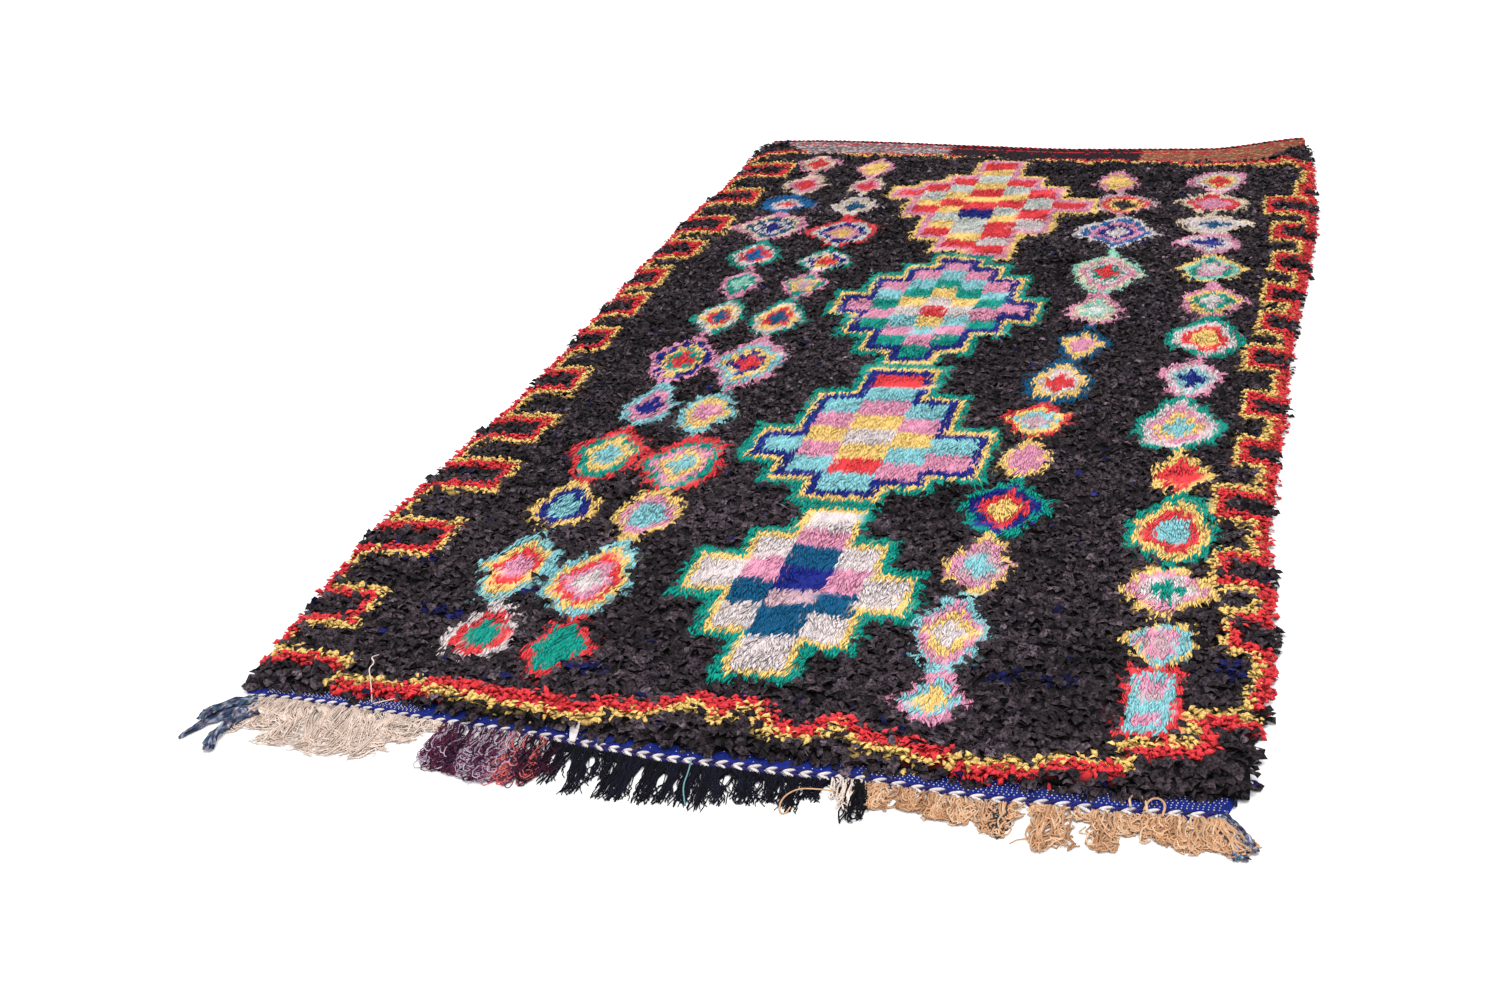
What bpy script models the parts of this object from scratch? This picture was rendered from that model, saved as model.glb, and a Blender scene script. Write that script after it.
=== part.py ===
"""A hand-knotted boucherouite rug lying flat: ground weave, rag pile, twined end finishes and fringe.

Metres, +Z up. The rug's middle is at the origin, its underside at z = 0, its fringed end at -Y.
"""

import math
import random

import bmesh
import bpy
import numpy as np
from mathutils import Vector, noise

SEED = 11
GAP = 0.0003

# The pile field's sides: how far left and right it reaches at stations along the rug.
SIDES = (
    # y, left, right
    (-1.30, -0.688, 0.672),
    (-1.14, -0.690, 0.676),
    (-1.02, -0.696, 0.686),
    (-0.83, -0.712, 0.680),
    (-0.70, -0.704, 0.666),
    (-0.45, -0.690, 0.667),
    (-0.20, -0.677, 0.671),
    (0.10, -0.681, 0.672),
    (0.33, -0.680, 0.680),
    (0.57, -0.679, 0.691),
    (0.79, -0.678, 0.696),
    (1.00, -0.660, 0.686),
    (1.16, -0.665, 0.677),
    (1.33, -0.660, 0.662),
)
# The near end: where the pile stops and where the ground weave stops.
NEAR_END = (
    # x, pile, weave
    (-0.70, -1.257, -1.272),
    (-0.60, -1.256, -1.268),
    (-0.50, -1.252, -1.272),
    (-0.40, -1.257, -1.281),
    (-0.31, -1.272, -1.285),
    (-0.22, -1.276, -1.290),
    (-0.14, -1.284, -1.299),
    (-0.05, -1.292, -1.310),
    (0.04, -1.295, -1.309),
    (0.13, -1.291, -1.312),
    (0.21, -1.294, -1.308),
    (0.29, -1.295, -1.316),
    (0.37, -1.300, -1.322),
    (0.45, -1.296, -1.317),
    (0.53, -1.296, -1.317),
    (0.60, -1.284, -1.310),
    (0.70, -1.268, -1.304),
)
# The far end: the pile leaves a wide flat-woven band bare, but for a margin of pile at each side.
FAR_END = (
    # x, pile, weave
    (-0.70, 1.304, 1.330),
    (-0.60, 1.300, 1.341),
    (-0.55, 1.240, 1.344),
    (-0.38, 1.226, 1.338),
    (-0.20, 1.219, 1.319),
    (-0.06, 1.204, 1.305),
    (0.09, 1.190, 1.292),
    (0.25, 1.188, 1.296),
    (0.37, 1.182, 1.301),
    (0.49, 1.180, 1.308),
    (0.58, 1.192, 1.314),
    (0.64, 1.255, 1.318),
    (0.70, 1.262, 1.320),
)

WEAVE_THICKNESS = 0.0036
WEAVE_INSET = 0.007
WEAVE_FLAT_ROWS = 14
WEAVE_CURL_ROWS = 8
CURL_STARTS = 0.80

PILE_COLUMNS = 28
PILE_ROWS = 50
PILE_HEIGHT = 0.023
PILE_RIM_HEIGHT = 0.015
PILE_SHOULDER = 0.030
LUMP_HEIGHT = 0.0075
LUMP_PITCH = 0.085
SWELL_HEIGHT = 0.0030
SWELL_PITCH = 0.36
RIM_RAGGEDNESS = 0.005

# Locks of rag hang out of the pile's rim: long ones to the floor at the sides, short ones over the near band.
SIDE_LOCK_REACH = 0.012
SIDE_LOCK_TIP_Z = 0.0026
NEAR_LOCK_REACH = 0.008
NEAR_LOCK_TIP_Z = 0.0054
LOCK_REACH_SPREAD = 0.35
LOCK_DRIFT = 0.006
LOCK_ROOT_SHARE = 0.55
LOCK_TIP_SHARE = 0.20

# The far right corner stands a little off the floor.
CURL_HEIGHT = 0.024
CURL_X = (0.43, 0.67)
CURL_Y = (1.02, 1.32)
CURL_CLEARANCE = 0.0012
CURL_MARGIN = 0.10

TWINE_LEFT = -0.664
TWINE_RIGHT = 0.652
TWINE_WIDTH = 0.017
TWINE_HEIGHT = 0.0054
TWINE_GROOVE = 0.0020
TWINE_EDGE_HEIGHT = 0.0012
TWINE_STITCHES = 64
TWINE_SLANT = 0.0075

CORD_RADIUS = 0.0042
CORD_STEP = 0.0115
CORD_TURN = math.radians(45)
CORD_LEFT = -0.652
CORD_RIGHT = 0.654

STRIP_DEPTH = 0.0045
STRIP_HEIGHT = 0.0032
STRAND_HEIGHT = 0.0026
STRAND_TIP_HEIGHT = 0.0016
STRAND_RINGS = (0.34, 0.68, 1.0)

# One fringe group for each colour of yarn or rag, left to right along the near end.
FRINGES = (
    # name, left, right, strands, bunch, width, tip_width, lean, gather, wave
    ("fringe_rag_left", -0.664, -0.624, 2, 1, 0.0185, 0.0040, -0.027, 2.6, 0.0),
    ("fringe_cream", -0.619, -0.372, 42, 6, 0.0037, 0.0030, 0.002, 0.90, 0.0016),
    ("fringe_plum", -0.366, -0.206, 24, 4, 0.0036, 0.0026, 0.006, 0.90, 0.0014),
    ("fringe_navy", -0.200, 0.172, 48, 5, 0.0039, 0.0024, -0.004, 0.60, 0.0022),
    ("fringe_knot", 0.180, 0.222, 5, 5, 0.0044, 0.0024, 0.012, 0.62, 0.0010),
    ("fringe_tan", 0.228, 0.622, 42, 4, 0.0048, 0.0034, 0.004, 0.80, 0.0020),
    ("fringe_rag_right", 0.628, 0.652, 3, 1, 0.0064, 0.0040, 0.026, 1.6, 0.0),
)
# How far the fringe reaches.
FRINGE_TIPS = (
    # x, tip
    (-0.72, -1.385),
    (-0.66, -1.405),
    (-0.64, -1.395),
    (-0.60, -1.358),
    (-0.53, -1.386),
    (-0.47, -1.388),
    (-0.42, -1.366),
    (-0.38, -1.336),
    (-0.34, -1.385),
    (-0.28, -1.408),
    (-0.24, -1.398),
    (-0.18, -1.404),
    (-0.12, -1.410),
    (-0.04, -1.420),
    (0.04, -1.414),
    (0.10, -1.396),
    (0.16, -1.372),
    (0.21, -1.408),
    (0.25, -1.376),
    (0.33, -1.384),
    (0.38, -1.406),
    (0.42, -1.380),
    (0.455, -1.418),
    (0.49, -1.376),
    (0.53, -1.406),
    (0.555, -1.366),
    (0.60, -1.396),
    (0.65, -1.392),
    (0.72, -1.380),
)

# colour, roughness
FINISHES = {
    "foundation": ((0.03, 0.05, 0.22), 0.90),
    "pile": ((0.045, 0.037, 0.042), 0.95),
    "twined_edge": ((0.30, 0.32, 0.52), 0.90),
    "far_cord": ((0.30, 0.03, 0.04), 0.90),
    "fringe_rag_left": ((0.06, 0.08, 0.12), 0.92),
    "fringe_cream": ((0.58, 0.47, 0.40), 0.95),
    "fringe_plum": ((0.22, 0.12, 0.20), 0.95),
    "fringe_navy": ((0.010, 0.010, 0.028), 0.90),
    "fringe_knot": ((0.25, 0.22, 0.21), 0.92),
    "fringe_tan": ((0.33, 0.18, 0.09), 0.95),
    "fringe_rag_right": ((0.12, 0.12, 0.16), 0.92),
}


def clear_scene():
    for obj in list(bpy.data.objects):
        bpy.data.objects.remove(obj, do_unlink=True)


def smooth_read(table, key, column=1):
    """The column's value at a key, on a curve without corners through the table's rows."""
    keys = [row[0] for row in table]
    values = [row[column] for row in table]
    slopes = np.gradient(values, keys)
    spot = int(np.clip(np.searchsorted(keys, key) - 1, 0, len(keys) - 2))
    span = keys[spot + 1] - keys[spot]
    t = min(max((key - keys[spot]) / span, 0.0), 1.0)
    start = (2 * t**3 - 3 * t**2 + 1) * values[spot] + (t**3 - 2 * t**2 + t) * span * slopes[spot]
    end = (3 * t**2 - 2 * t**3) * values[spot + 1] + (t**3 - t**2) * span * slopes[spot + 1]
    return float(start + end)


def ramp(value, start, end):
    """0 at start, 1 at end, with a soft foot and a soft top."""
    t = min(max((value - start) / (end - start), 0.0), 1.0)
    return t * t * (3 - 2 * t)


def lift(x, y):
    """How far the far right corner stands off the floor."""
    return CURL_HEIGHT * ramp(x, *CURL_X) * ramp(y, *CURL_Y)


def curl_clearance(x, y):
    """The extra room between weave and pile where both curl."""
    across = ramp(x, CURL_X[0] - CURL_MARGIN, CURL_X[0])
    along = ramp(y, CURL_Y[0] - CURL_MARGIN, CURL_Y[0])
    return CURL_CLEARANCE * across * along


def curls(x, y):
    return x > CURL_X[0] - CURL_MARGIN and y > CURL_Y[0] - CURL_MARGIN


def rug_point(u, v, edge_column, inset):
    """A place on the rug: u runs from its left side to its right, v from the near end to the far."""
    y = NEAR_END[0][edge_column] * (1 - v) + FAR_END[0][edge_column] * v
    for _ in range(4):
        left = smooth_read(SIDES, y, 1) + inset
        right = smooth_read(SIDES, y, 2) - inset
        x = left + u * (right - left)
        near = smooth_read(NEAR_END, x, edge_column)
        far = smooth_read(FAR_END, x, edge_column)
        y = near + v * (far - near)
    return x, y


def rug_grid(us, vs, edge_column, inset):
    return [[rug_point(u, v, edge_column, inset) for u in us] for v in vs]


def link(name, bm):
    """Turns the bmesh into an object with its own material."""
    bmesh.ops.recalc_face_normals(bm, faces=bm.faces[:])
    mesh = bpy.data.meshes.new(name)
    bm.to_mesh(mesh)
    bm.free()
    obj = bpy.data.objects.new(name, mesh)
    bpy.context.scene.collection.objects.link(obj)
    colour, roughness = FINISHES[name]
    material = bpy.data.materials.new(name)
    material.use_nodes = True
    shader = material.node_tree.nodes["Principled BSDF"]
    shader.inputs["Base Color"].default_value = (*colour, 1.0)
    shader.inputs["Roughness"].default_value = roughness
    mesh.materials.append(material)
    return obj


def kept_columns(grid, row):
    """The columns that a line of a flat face needs: both sides, all at an end, all where the corner curls."""
    last = len(grid[row]) - 1
    if row in (0, len(grid) - 1):
        return list(range(last + 1))
    return [i for i in range(last + 1) if i in (0, last) or curls(*grid[row][i])]


def coarse_face(bm, grid, height):
    """A face over the grid at height(x, y), in wide polygons where it is flat. Its lines of vertices by column."""
    lines = []
    for row in range(len(grid)):
        line = {}
        for i in kept_columns(grid, row):
            x, y = grid[row][i]
            line[i] = bm.verts.new((x, y, height(x, y)))
        lines.append(line)
    for lower, upper in zip(lines, lines[1:]):
        shared = sorted(set(lower) & set(upper))
        for left, right in zip(shared, shared[1:]):
            below = [lower[i] for i in sorted(lower) if left <= i <= right]
            above = [upper[i] for i in sorted(upper) if left <= i <= right]
            bm.faces.new(below + above[::-1])
    return lines


def rim_loop(lines):
    """The vertices around a face given by its lines, counterclockwise from the near left corner."""
    near = [lines[0][i] for i in sorted(lines[0])]
    right = [line[max(line)] for line in lines[1:-1]]
    far = [lines[-1][i] for i in sorted(lines[-1])][::-1]
    left = [line[min(line)] for line in lines[1:-1]][::-1]
    return near + right + far + left


def wall(bm, lower, upper):
    """Quads between two rims of as many vertices."""
    count = len(lower)
    return [
        bm.faces.new((lower[k], lower[(k + 1) % count], upper[(k + 1) % count], upper[k]))
        for k in range(count)
    ]


def build_foundation():
    """The ground weave, bare at both ends as flat-woven bands and under the pile elsewhere."""
    us = np.linspace(0, 1, PILE_COLUMNS + 1)
    flat = np.linspace(0, CURL_STARTS, WEAVE_FLAT_ROWS + 1)
    curled = np.linspace(CURL_STARTS, 1, WEAVE_CURL_ROWS + 1)[1:]
    grid = rug_grid(us, [*flat, *curled], 2, WEAVE_INSET)
    bm = bmesh.new()
    bottom = coarse_face(bm, grid, lift)
    top = coarse_face(bm, grid, lambda x, y: lift(x, y) + WEAVE_THICKNESS)
    wall(bm, rim_loop(bottom), rim_loop(top))
    link("foundation", bm)
    return grid


def pile_height(x, y, side_distance):
    """The lumpy top of the pile, which rounds down to its rim."""
    shoulder = ramp(side_distance, 0.0, PILE_SHOULDER)
    height = PILE_RIM_HEIGHT + (PILE_HEIGHT - PILE_RIM_HEIGHT) * shoulder
    height += LUMP_HEIGHT * noise.noise(Vector((x / LUMP_PITCH, y / LUMP_PITCH, SEED)))
    height += SWELL_HEIGHT * noise.noise(Vector((x / SWELL_PITCH, y / SWELL_PITCH, -SEED)))
    return height + lift(x, y)


def add_lock(bm, face, reach, drift, tip_z):
    """Pulls one lock of rag out of a rim face, drooping to tip_z over the floor."""
    corners = list(face.verts)
    centre = face.calc_center_median()
    outward = face.normal.copy()
    outward.z = 0
    outward.normalize()
    along = Vector((-outward.y, outward.x, 0))
    floor = min(corner.co.z for corner in corners) - WEAVE_THICKNESS - GAP
    root = [bm.verts.new(centre.lerp(corner.co, LOCK_ROOT_SHARE)) for corner in corners]
    tip_centre = centre + outward * reach + along * drift
    tip_centre.z = floor + tip_z
    tip = []
    for corner in corners:
        offset = (corner.co - centre) * LOCK_TIP_SHARE
        offset.z *= LOCK_TIP_SHARE
        tip.append(bm.verts.new(tip_centre + offset))
    bm.faces.remove(face)
    for k in range(4):
        n = (k + 1) % 4
        bm.faces.new((corners[k], corners[n], root[n], root[k]))
        bm.faces.new((root[k], root[n], tip[n], tip[k]))
    bm.faces.new(tip)


def build_pile():
    """One lumpy slab of knotted rag pile with locks round its sides and near end."""
    chance = random.Random(SEED)
    us = np.linspace(0, 1, PILE_COLUMNS + 1)
    vs = np.linspace(0, 1, PILE_ROWS + 1)
    grid = rug_grid(us, vs, 1, 0.0)
    for line in grid:
        line[0] = (line[0][0] + RIM_RAGGEDNESS * chance.random(), line[0][1])
        line[-1] = (line[-1][0] - RIM_RAGGEDNESS * chance.random(), line[-1][1])
    bm = bmesh.new()
    base = WEAVE_THICKNESS + GAP
    bottom = coarse_face(bm, grid, lambda x, y: base + lift(x, y) + curl_clearance(x, y))
    top = []
    for row in range(PILE_ROWS + 1):
        line = {}
        for i in range(PILE_COLUMNS + 1):
            x, y = grid[row][i]
            to_side = min(x - grid[row][0][0], grid[row][-1][0] - x)
            to_end = min(y - grid[0][i][1], grid[-1][i][1] - y)
            line[i] = bm.verts.new((x, y, pile_height(x, y, min(to_side, to_end))))
        top.append(line)
    for lower, upper in zip(top, top[1:]):
        for i in range(PILE_COLUMNS):
            bm.faces.new((lower[i], lower[i + 1], upper[i + 1], upper[i]))
    rim = wall(bm, rim_loop(bottom), rim_loop(top))
    bm.normal_update()
    far_start = PILE_COLUMNS + PILE_ROWS
    far_end = far_start + PILE_COLUMNS
    for k, face in enumerate(rim):
        if far_start <= k < far_end:
            continue
        at_near_end = k < PILE_COLUMNS
        reach = NEAR_LOCK_REACH if at_near_end else SIDE_LOCK_REACH
        reach *= 1 + chance.uniform(-1, 1) * LOCK_REACH_SPREAD
        tip_z = NEAR_LOCK_TIP_Z if at_near_end else SIDE_LOCK_TIP_Z
        add_lock(bm, face, reach, chance.uniform(-1, 1) * LOCK_DRIFT, tip_z)
    link("pile", bm)


def read_edge(edge, x):
    """The y of a sampled edge line at x."""
    return float(np.interp(x, [point[0] for point in edge], [point[1] for point in edge]))


def build_twined_edge(edge):
    """The chain that closes the near end: two rows of raised slanting stitches that meet in a groove."""
    bm = bmesh.new()
    lines = []
    columns = 2 * TWINE_STITCHES + 1
    profile = (
        # share of the width from the weave, height at a stitch's crest, height between stitches
        (0.0, TWINE_EDGE_HEIGHT, TWINE_EDGE_HEIGHT),
        (0.25, TWINE_HEIGHT, TWINE_HEIGHT - TWINE_GROOVE),
        (0.5, TWINE_HEIGHT - TWINE_GROOVE, TWINE_HEIGHT - TWINE_GROOVE),
        (0.75, TWINE_HEIGHT, TWINE_HEIGHT - TWINE_GROOVE),
        (1.0, TWINE_EDGE_HEIGHT, TWINE_EDGE_HEIGHT),
    )
    for k in range(columns):
        x = TWINE_LEFT + (TWINE_RIGHT - TWINE_LEFT - TWINE_SLANT) * k / (columns - 1)
        line = []
        for share, crest, valley in profile:
            place = x + TWINE_SLANT * abs(2 * share - 1)
            y = read_edge(edge, place) - GAP - TWINE_WIDTH * share
            line.append(bm.verts.new((place, y, crest if k % 2 else valley)))
        lines.append(line)
    for line, following in zip(lines, lines[1:]):
        for n in range(len(profile) - 1):
            bm.faces.new((line[n], line[n + 1], following[n + 1], following[n]))
    rim = [line[-1] for line in lines] + lines[-1][-2::-1] + [line[0] for line in lines[-2::-1]]
    rim += lines[0][1:-1]
    floor = [bm.verts.new((vert.co.x, vert.co.y, 0.0)) for vert in rim]
    wall(bm, floor, rim)
    bm.faces.new(floor)
    link("twined_edge", bm)


def build_far_cord(edge):
    """The thick two-colour twist along the far end, as a twisted square bar."""
    bm = bmesh.new()
    steps = round((CORD_RIGHT - CORD_LEFT) / CORD_STEP)
    rings = []
    for k in range(steps + 1):
        x = CORD_LEFT + (CORD_RIGHT - CORD_LEFT) * k / steps
        y = read_edge(edge, x) + GAP + CORD_RADIUS
        centre = Vector((x, y, CORD_RADIUS + lift(x, y)))
        angles = [CORD_TURN * k + math.radians(90) * n for n in range(4)]
        rings.append([
            bm.verts.new(centre + CORD_RADIUS * Vector((0, math.cos(a), math.sin(a)))) for a in angles
        ])
    for ring, following in zip(rings, rings[1:]):
        wall(bm, ring, following)
    bm.faces.new(rings[0])
    bm.faces.new(rings[-1])
    link("far_cord", bm)


def strand_route(row, number, root_x, root_y, chance):
    """The centre line of one strand on the floor, from the strip's front to its tip."""
    name, left, right, strands, bunch, width, tip_width, lean, gather, wave = row
    pitch = (right - left) / strands
    first = (number // bunch) * bunch
    members = min(bunch, strands - first)
    bunch_x = left + pitch * (first + members / 2)
    phase = 1.7 * (number // bunch) + 0.4
    tip_x = bunch_x + (root_x - bunch_x) * gather + lean
    if members == 1:
        tip_x = root_x + lean + (root_x - (left + right) / 2) * (gather - 1)
    tip_y = smooth_read(FRINGE_TIPS, tip_x) + chance.uniform(-0.004, 0.004)
    route = []
    for share in STRAND_RINGS:
        x = root_x + (tip_x - root_x) * share
        x += wave * math.sin(phase + 4.2 * share) * share
        route.append((x, root_y + (tip_y - root_y) * share))
    return route


def build_fringe(row, edge, chance):
    """One group of strands whose roots are fused into a narrow strip under the twined edge's lip."""
    name, left, right, strands, bunch, width, tip_width, lean, gather, wave = row
    bm = bmesh.new()

    def column(x):
        """The strip's section at x: front foot, front top, back top, back foot."""
        back = read_edge(edge, x) - GAP - TWINE_WIDTH - GAP
        front = back - STRIP_DEPTH
        high = STRIP_HEIGHT
        return [bm.verts.new(p) for p in ((x, front, 0), (x, front, high), (x, back, high), (x, back, 0))]

    pitch = (right - left) / strands
    columns = [column(left)]
    cells = []
    for number in range(strands):
        root_x = left + pitch * (number + 0.5)
        pair = column(root_x - width / 2), column(root_x + width / 2)
        columns += pair
        cells.append((number, root_x, *pair))
    columns.append(column(right))
    for k, (one, two) in enumerate(zip(columns, columns[1:])):
        for n in range(4):
            opens_into_strand = n == 0 and k % 2 == 1
            if not opens_into_strand:
                bm.faces.new((one[n], one[(n + 1) % 4], two[(n + 1) % 4], two[n]))
    bm.faces.new(columns[0])
    bm.faces.new(columns[-1])
    for number, root_x, start, end in cells:
        ring = [start[0], end[0], end[1], start[1]]
        route = strand_route(row, number, root_x, start[0].co.y, chance)
        for share, (x, y) in zip(STRAND_RINGS, route):
            half = (width + (tip_width - width) * share) / 2
            high = STRAND_HEIGHT + (STRAND_TIP_HEIGHT - STRAND_HEIGHT) * share
            corners = ((x - half, y, 0), (x + half, y, 0), (x + half, y, high), (x - half, y, high))
            following = [bm.verts.new(p) for p in corners]
            wall(bm, ring, following)
            ring = following
        bm.faces.new(ring)
    bmesh.ops.dissolve_limit(
        bm, angle_limit=math.radians(0.2), verts=bm.verts[:], edges=bm.edges[:], delimit={"NORMAL"}
    )
    link(name, bm)


def main():
    clear_scene()
    chance = random.Random(SEED)
    weave = build_foundation()
    build_pile()
    build_twined_edge(weave[0])
    build_far_cord(weave[-1])
    for row in FRINGES:
        build_fringe(row, weave[0], chance)


main()
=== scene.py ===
"""A hand-knotted boucherouite rug of rag and yarn pile, lying on a pale studio floor."""

import math
import random

import bmesh
import bpy
import numpy as np
from mathutils import Matrix, Vector, noise
from mathutils.bvhtree import BVHTree


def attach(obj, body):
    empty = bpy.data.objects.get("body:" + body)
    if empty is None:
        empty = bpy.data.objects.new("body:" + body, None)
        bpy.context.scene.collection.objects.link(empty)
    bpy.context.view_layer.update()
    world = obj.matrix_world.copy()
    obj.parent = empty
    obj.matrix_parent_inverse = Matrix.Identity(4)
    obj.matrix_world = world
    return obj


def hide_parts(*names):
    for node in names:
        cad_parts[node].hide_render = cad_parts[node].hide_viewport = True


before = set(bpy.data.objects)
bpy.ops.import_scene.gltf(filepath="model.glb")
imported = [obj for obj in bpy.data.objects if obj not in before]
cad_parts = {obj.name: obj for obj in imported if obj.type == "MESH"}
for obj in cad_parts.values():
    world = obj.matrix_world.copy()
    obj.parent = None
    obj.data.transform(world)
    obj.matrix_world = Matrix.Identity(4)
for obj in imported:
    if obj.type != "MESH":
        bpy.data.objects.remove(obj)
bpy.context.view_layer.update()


# The camera stands at the near right of the rug, at about chest height, and looks down its length.
# Its lens, place and tilt are those that put a flat rectangular rug where the photograph has it.
CAMERA_LENS = 44.878
CAMERA_PLACE = Vector((0.71853, -3.15504, 1.36914))
CAMERA_PITCH = math.radians(26.94917)
CAMERA_YAW = math.radians(18.68322)
CAMERA_ROLL = math.radians(-4.945896)


def in_scene(name, data):
    """A new object that stands in the scene."""
    made = bpy.data.objects.new(name, data)
    bpy.context.scene.collection.objects.link(made)
    return made


camera = in_scene("camera", bpy.data.cameras.new("camera"))
bpy.context.scene.camera = camera
camera.data.lens = CAMERA_LENS
camera.data.sensor_width = 36
camera.data.clip_end = 100
ahead = Vector((
    -math.sin(CAMERA_YAW) * math.cos(CAMERA_PITCH),
    math.cos(CAMERA_YAW) * math.cos(CAMERA_PITCH),
    -math.sin(CAMERA_PITCH),
))
level = Vector((math.cos(CAMERA_YAW), math.sin(CAMERA_YAW), 0))
above = level.cross(ahead)
aside = math.cos(CAMERA_ROLL) * level + math.sin(CAMERA_ROLL) * above
above = -math.sin(CAMERA_ROLL) * level + math.cos(CAMERA_ROLL) * above
camera.matrix_world = Matrix.Translation(CAMERA_PLACE) @ Matrix((aside, above, -ahead)).transposed().to_4x4()


# The studio is a plain white floor under a bright even sky, with one large soft light over the near end
# and a weaker one from the left that shapes the pile.
FLOOR_SIZE = 60.0
FLOOR_COLOUR = (0.95, 0.95, 0.95, 1)
SKY_STRENGTH = 1.12

bpy.context.scene.view_settings.view_transform = "Standard"
sky = bpy.data.worlds.new("studio sky")
bpy.context.scene.world = sky
sky.use_nodes = True
sky.node_tree.nodes["Background"].inputs["Color"].default_value = (1.0, 1.0, 1.0, 1)
sky.node_tree.nodes["Background"].inputs["Strength"].default_value = SKY_STRENGTH

bm = bmesh.new()
bmesh.ops.create_grid(bm, x_segments=1, y_segments=1, size=FLOOR_SIZE / 2)
floor_mesh = bpy.data.meshes.new("floor")
bm.to_mesh(floor_mesh)
bm.free()
floor = in_scene("floor", floor_mesh)
floor_paint = bpy.data.materials.new("floor paint")
floor_paint.use_nodes = True
floor_shader = floor_paint.node_tree.nodes["Principled BSDF"]
floor_shader.inputs["Base Color"].default_value = FLOOR_COLOUR
floor_shader.inputs["Roughness"].default_value = 0.9
floor_shader.inputs["Specular IOR Level"].default_value = 0.0
floor_mesh.materials.append(floor_paint)

for name, place, aim, size, power in (
    ("overhead light", (0.9, -1.8, 3.4), (0.0, 0.0, 0.0), 2.6, 82.0),
    ("side light", (-3.0, 1.4, 2.6), (0.0, 0.2, 0.0), 2.4, 36.0),
):
    lamp = bpy.data.lights.new(name, "AREA")
    lamp.size = size
    lamp.energy = power
    light = in_scene(name, lamp)
    light.location = place
    light.rotation_euler = (Vector(aim) - Vector(place)).to_track_quat("-Z", "Y").to_euler()


# The ground weave is the flat wool and cotton cloth that all the pile is knotted into. It shows bare only
# as a narrow blue band at the near end and a wide grey, dark and brown band at the far end.
WEAVE_THICKNESS = 0.0036
WEAVE_COLUMNS = 36
WEAVE_ROWS = 64
NEAR_CORNER_CUT = 0.014
CURL_HEIGHT = 0.024
CURL_X = (0.43, 0.67)
CURL_Y = (1.02, 1.32)


def ramp(value, start, end):
    """0 at start, 1 at end, with a soft foot and a soft top."""
    t = np.clip((np.asarray(value) - start) / (end - start), 0.0, 1.0)
    return t * t * (3 - 2 * t)


def lift(x, y):
    """How far the far right corner stands off the floor."""
    return CURL_HEIGHT * ramp(x, *CURL_X) * ramp(y, *CURL_Y)


def solid_of(node):
    """A search tree over a CAD node's faces."""
    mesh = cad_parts[node].data
    corners = [v.co.copy() for v in mesh.vertices]
    return BVHTree.FromPolygons(corners, [tuple(face.vertices) for face in mesh.polygons])


def edge_of(solid, start, end, least=0.0):
    """The place from start towards end where a solid, seen from above, stops being at least so high."""
    start, end = Vector((*start, 1.0)), Vector((*end, 1.0))
    for _ in range(13):
        middle = (start + end) / 2
        hit = solid.ray_cast(middle, Vector((0, 0, -1)))[0]
        if hit is None or hit.z - lift(middle.x, middle.y) < least:
            end = middle
        else:
            start = middle
    return start


def rim_of(solid, stations, low, high, inside, outside, sideways=False, least=0.0):
    """Where a solid ends at each station, none beyond low or high: its y at each x, or its x at each y."""
    rim = []
    for station in stations:
        station = min(max(station, low), high)
        if sideways:
            rim.append(edge_of(solid, (inside, station), (outside, station), least).x)
        else:
            rim.append(edge_of(solid, (station, inside), (station, outside), least).y)
    return rim


def new_piece(name, vertices, faces, finish):
    """A piece of the rug, from its mesh and its finish."""
    mesh = bpy.data.meshes.new(name)
    mesh.from_pydata([tuple(v) for v in vertices], [], [tuple(int(i) for i in f) for f in faces])
    mesh.materials.append(finish)
    return in_scene(name, mesh)


def join_rug(piece, node):
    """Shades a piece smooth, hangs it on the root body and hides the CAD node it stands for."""
    piece.data.polygons.foreach_set("use_smooth", [True] * len(piece.data.polygons))
    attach(piece, "root")
    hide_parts(node)


def sheet_faces(columns, rows, count):
    """Faces of a closed sheet: a top grid of columns x rows points, then a bottom grid, then its edges."""
    faces = []
    for r in range(rows - 1):
        for c in range(columns - 1):
            a = r * columns + c
            faces.append((a, a + 1, a + columns + 1, a + columns))
            faces.append((count + a, count + a + columns, count + a + columns + 1, count + a + 1))
    rim = [*range(columns), *range(2 * columns - 1, count, columns)]
    rim += [*range(count - 2, count - columns - 1, -1), *range(count - 2 * columns, 0, -columns)]
    for one, two in zip(rim, rim[1:] + rim[:1]):
        faces.append((one, count + one, count + two, two))
    return faces


ground = solid_of("foundation")
stations_x = np.linspace(-0.70, 0.70, 71)
stations_y = np.linspace(-1.28, 1.32, 66)
weave_near = rim_of(ground, stations_x, -0.66, 0.65, -1.2, -1.4)
weave_far = rim_of(ground, stations_x, -0.645, 0.65, 1.2, 1.4)
weave_left = rim_of(ground, stations_y, -1.25, 1.31, -0.5, -0.8, sideways=True)
weave_right = rim_of(ground, stations_y, -1.27, 1.30, 0.5, 0.8, sideways=True)


def near_edge(x):
    return np.interp(x, stations_x, weave_near)


def far_edge(x):
    return np.interp(x, stations_x, weave_far)


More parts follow.
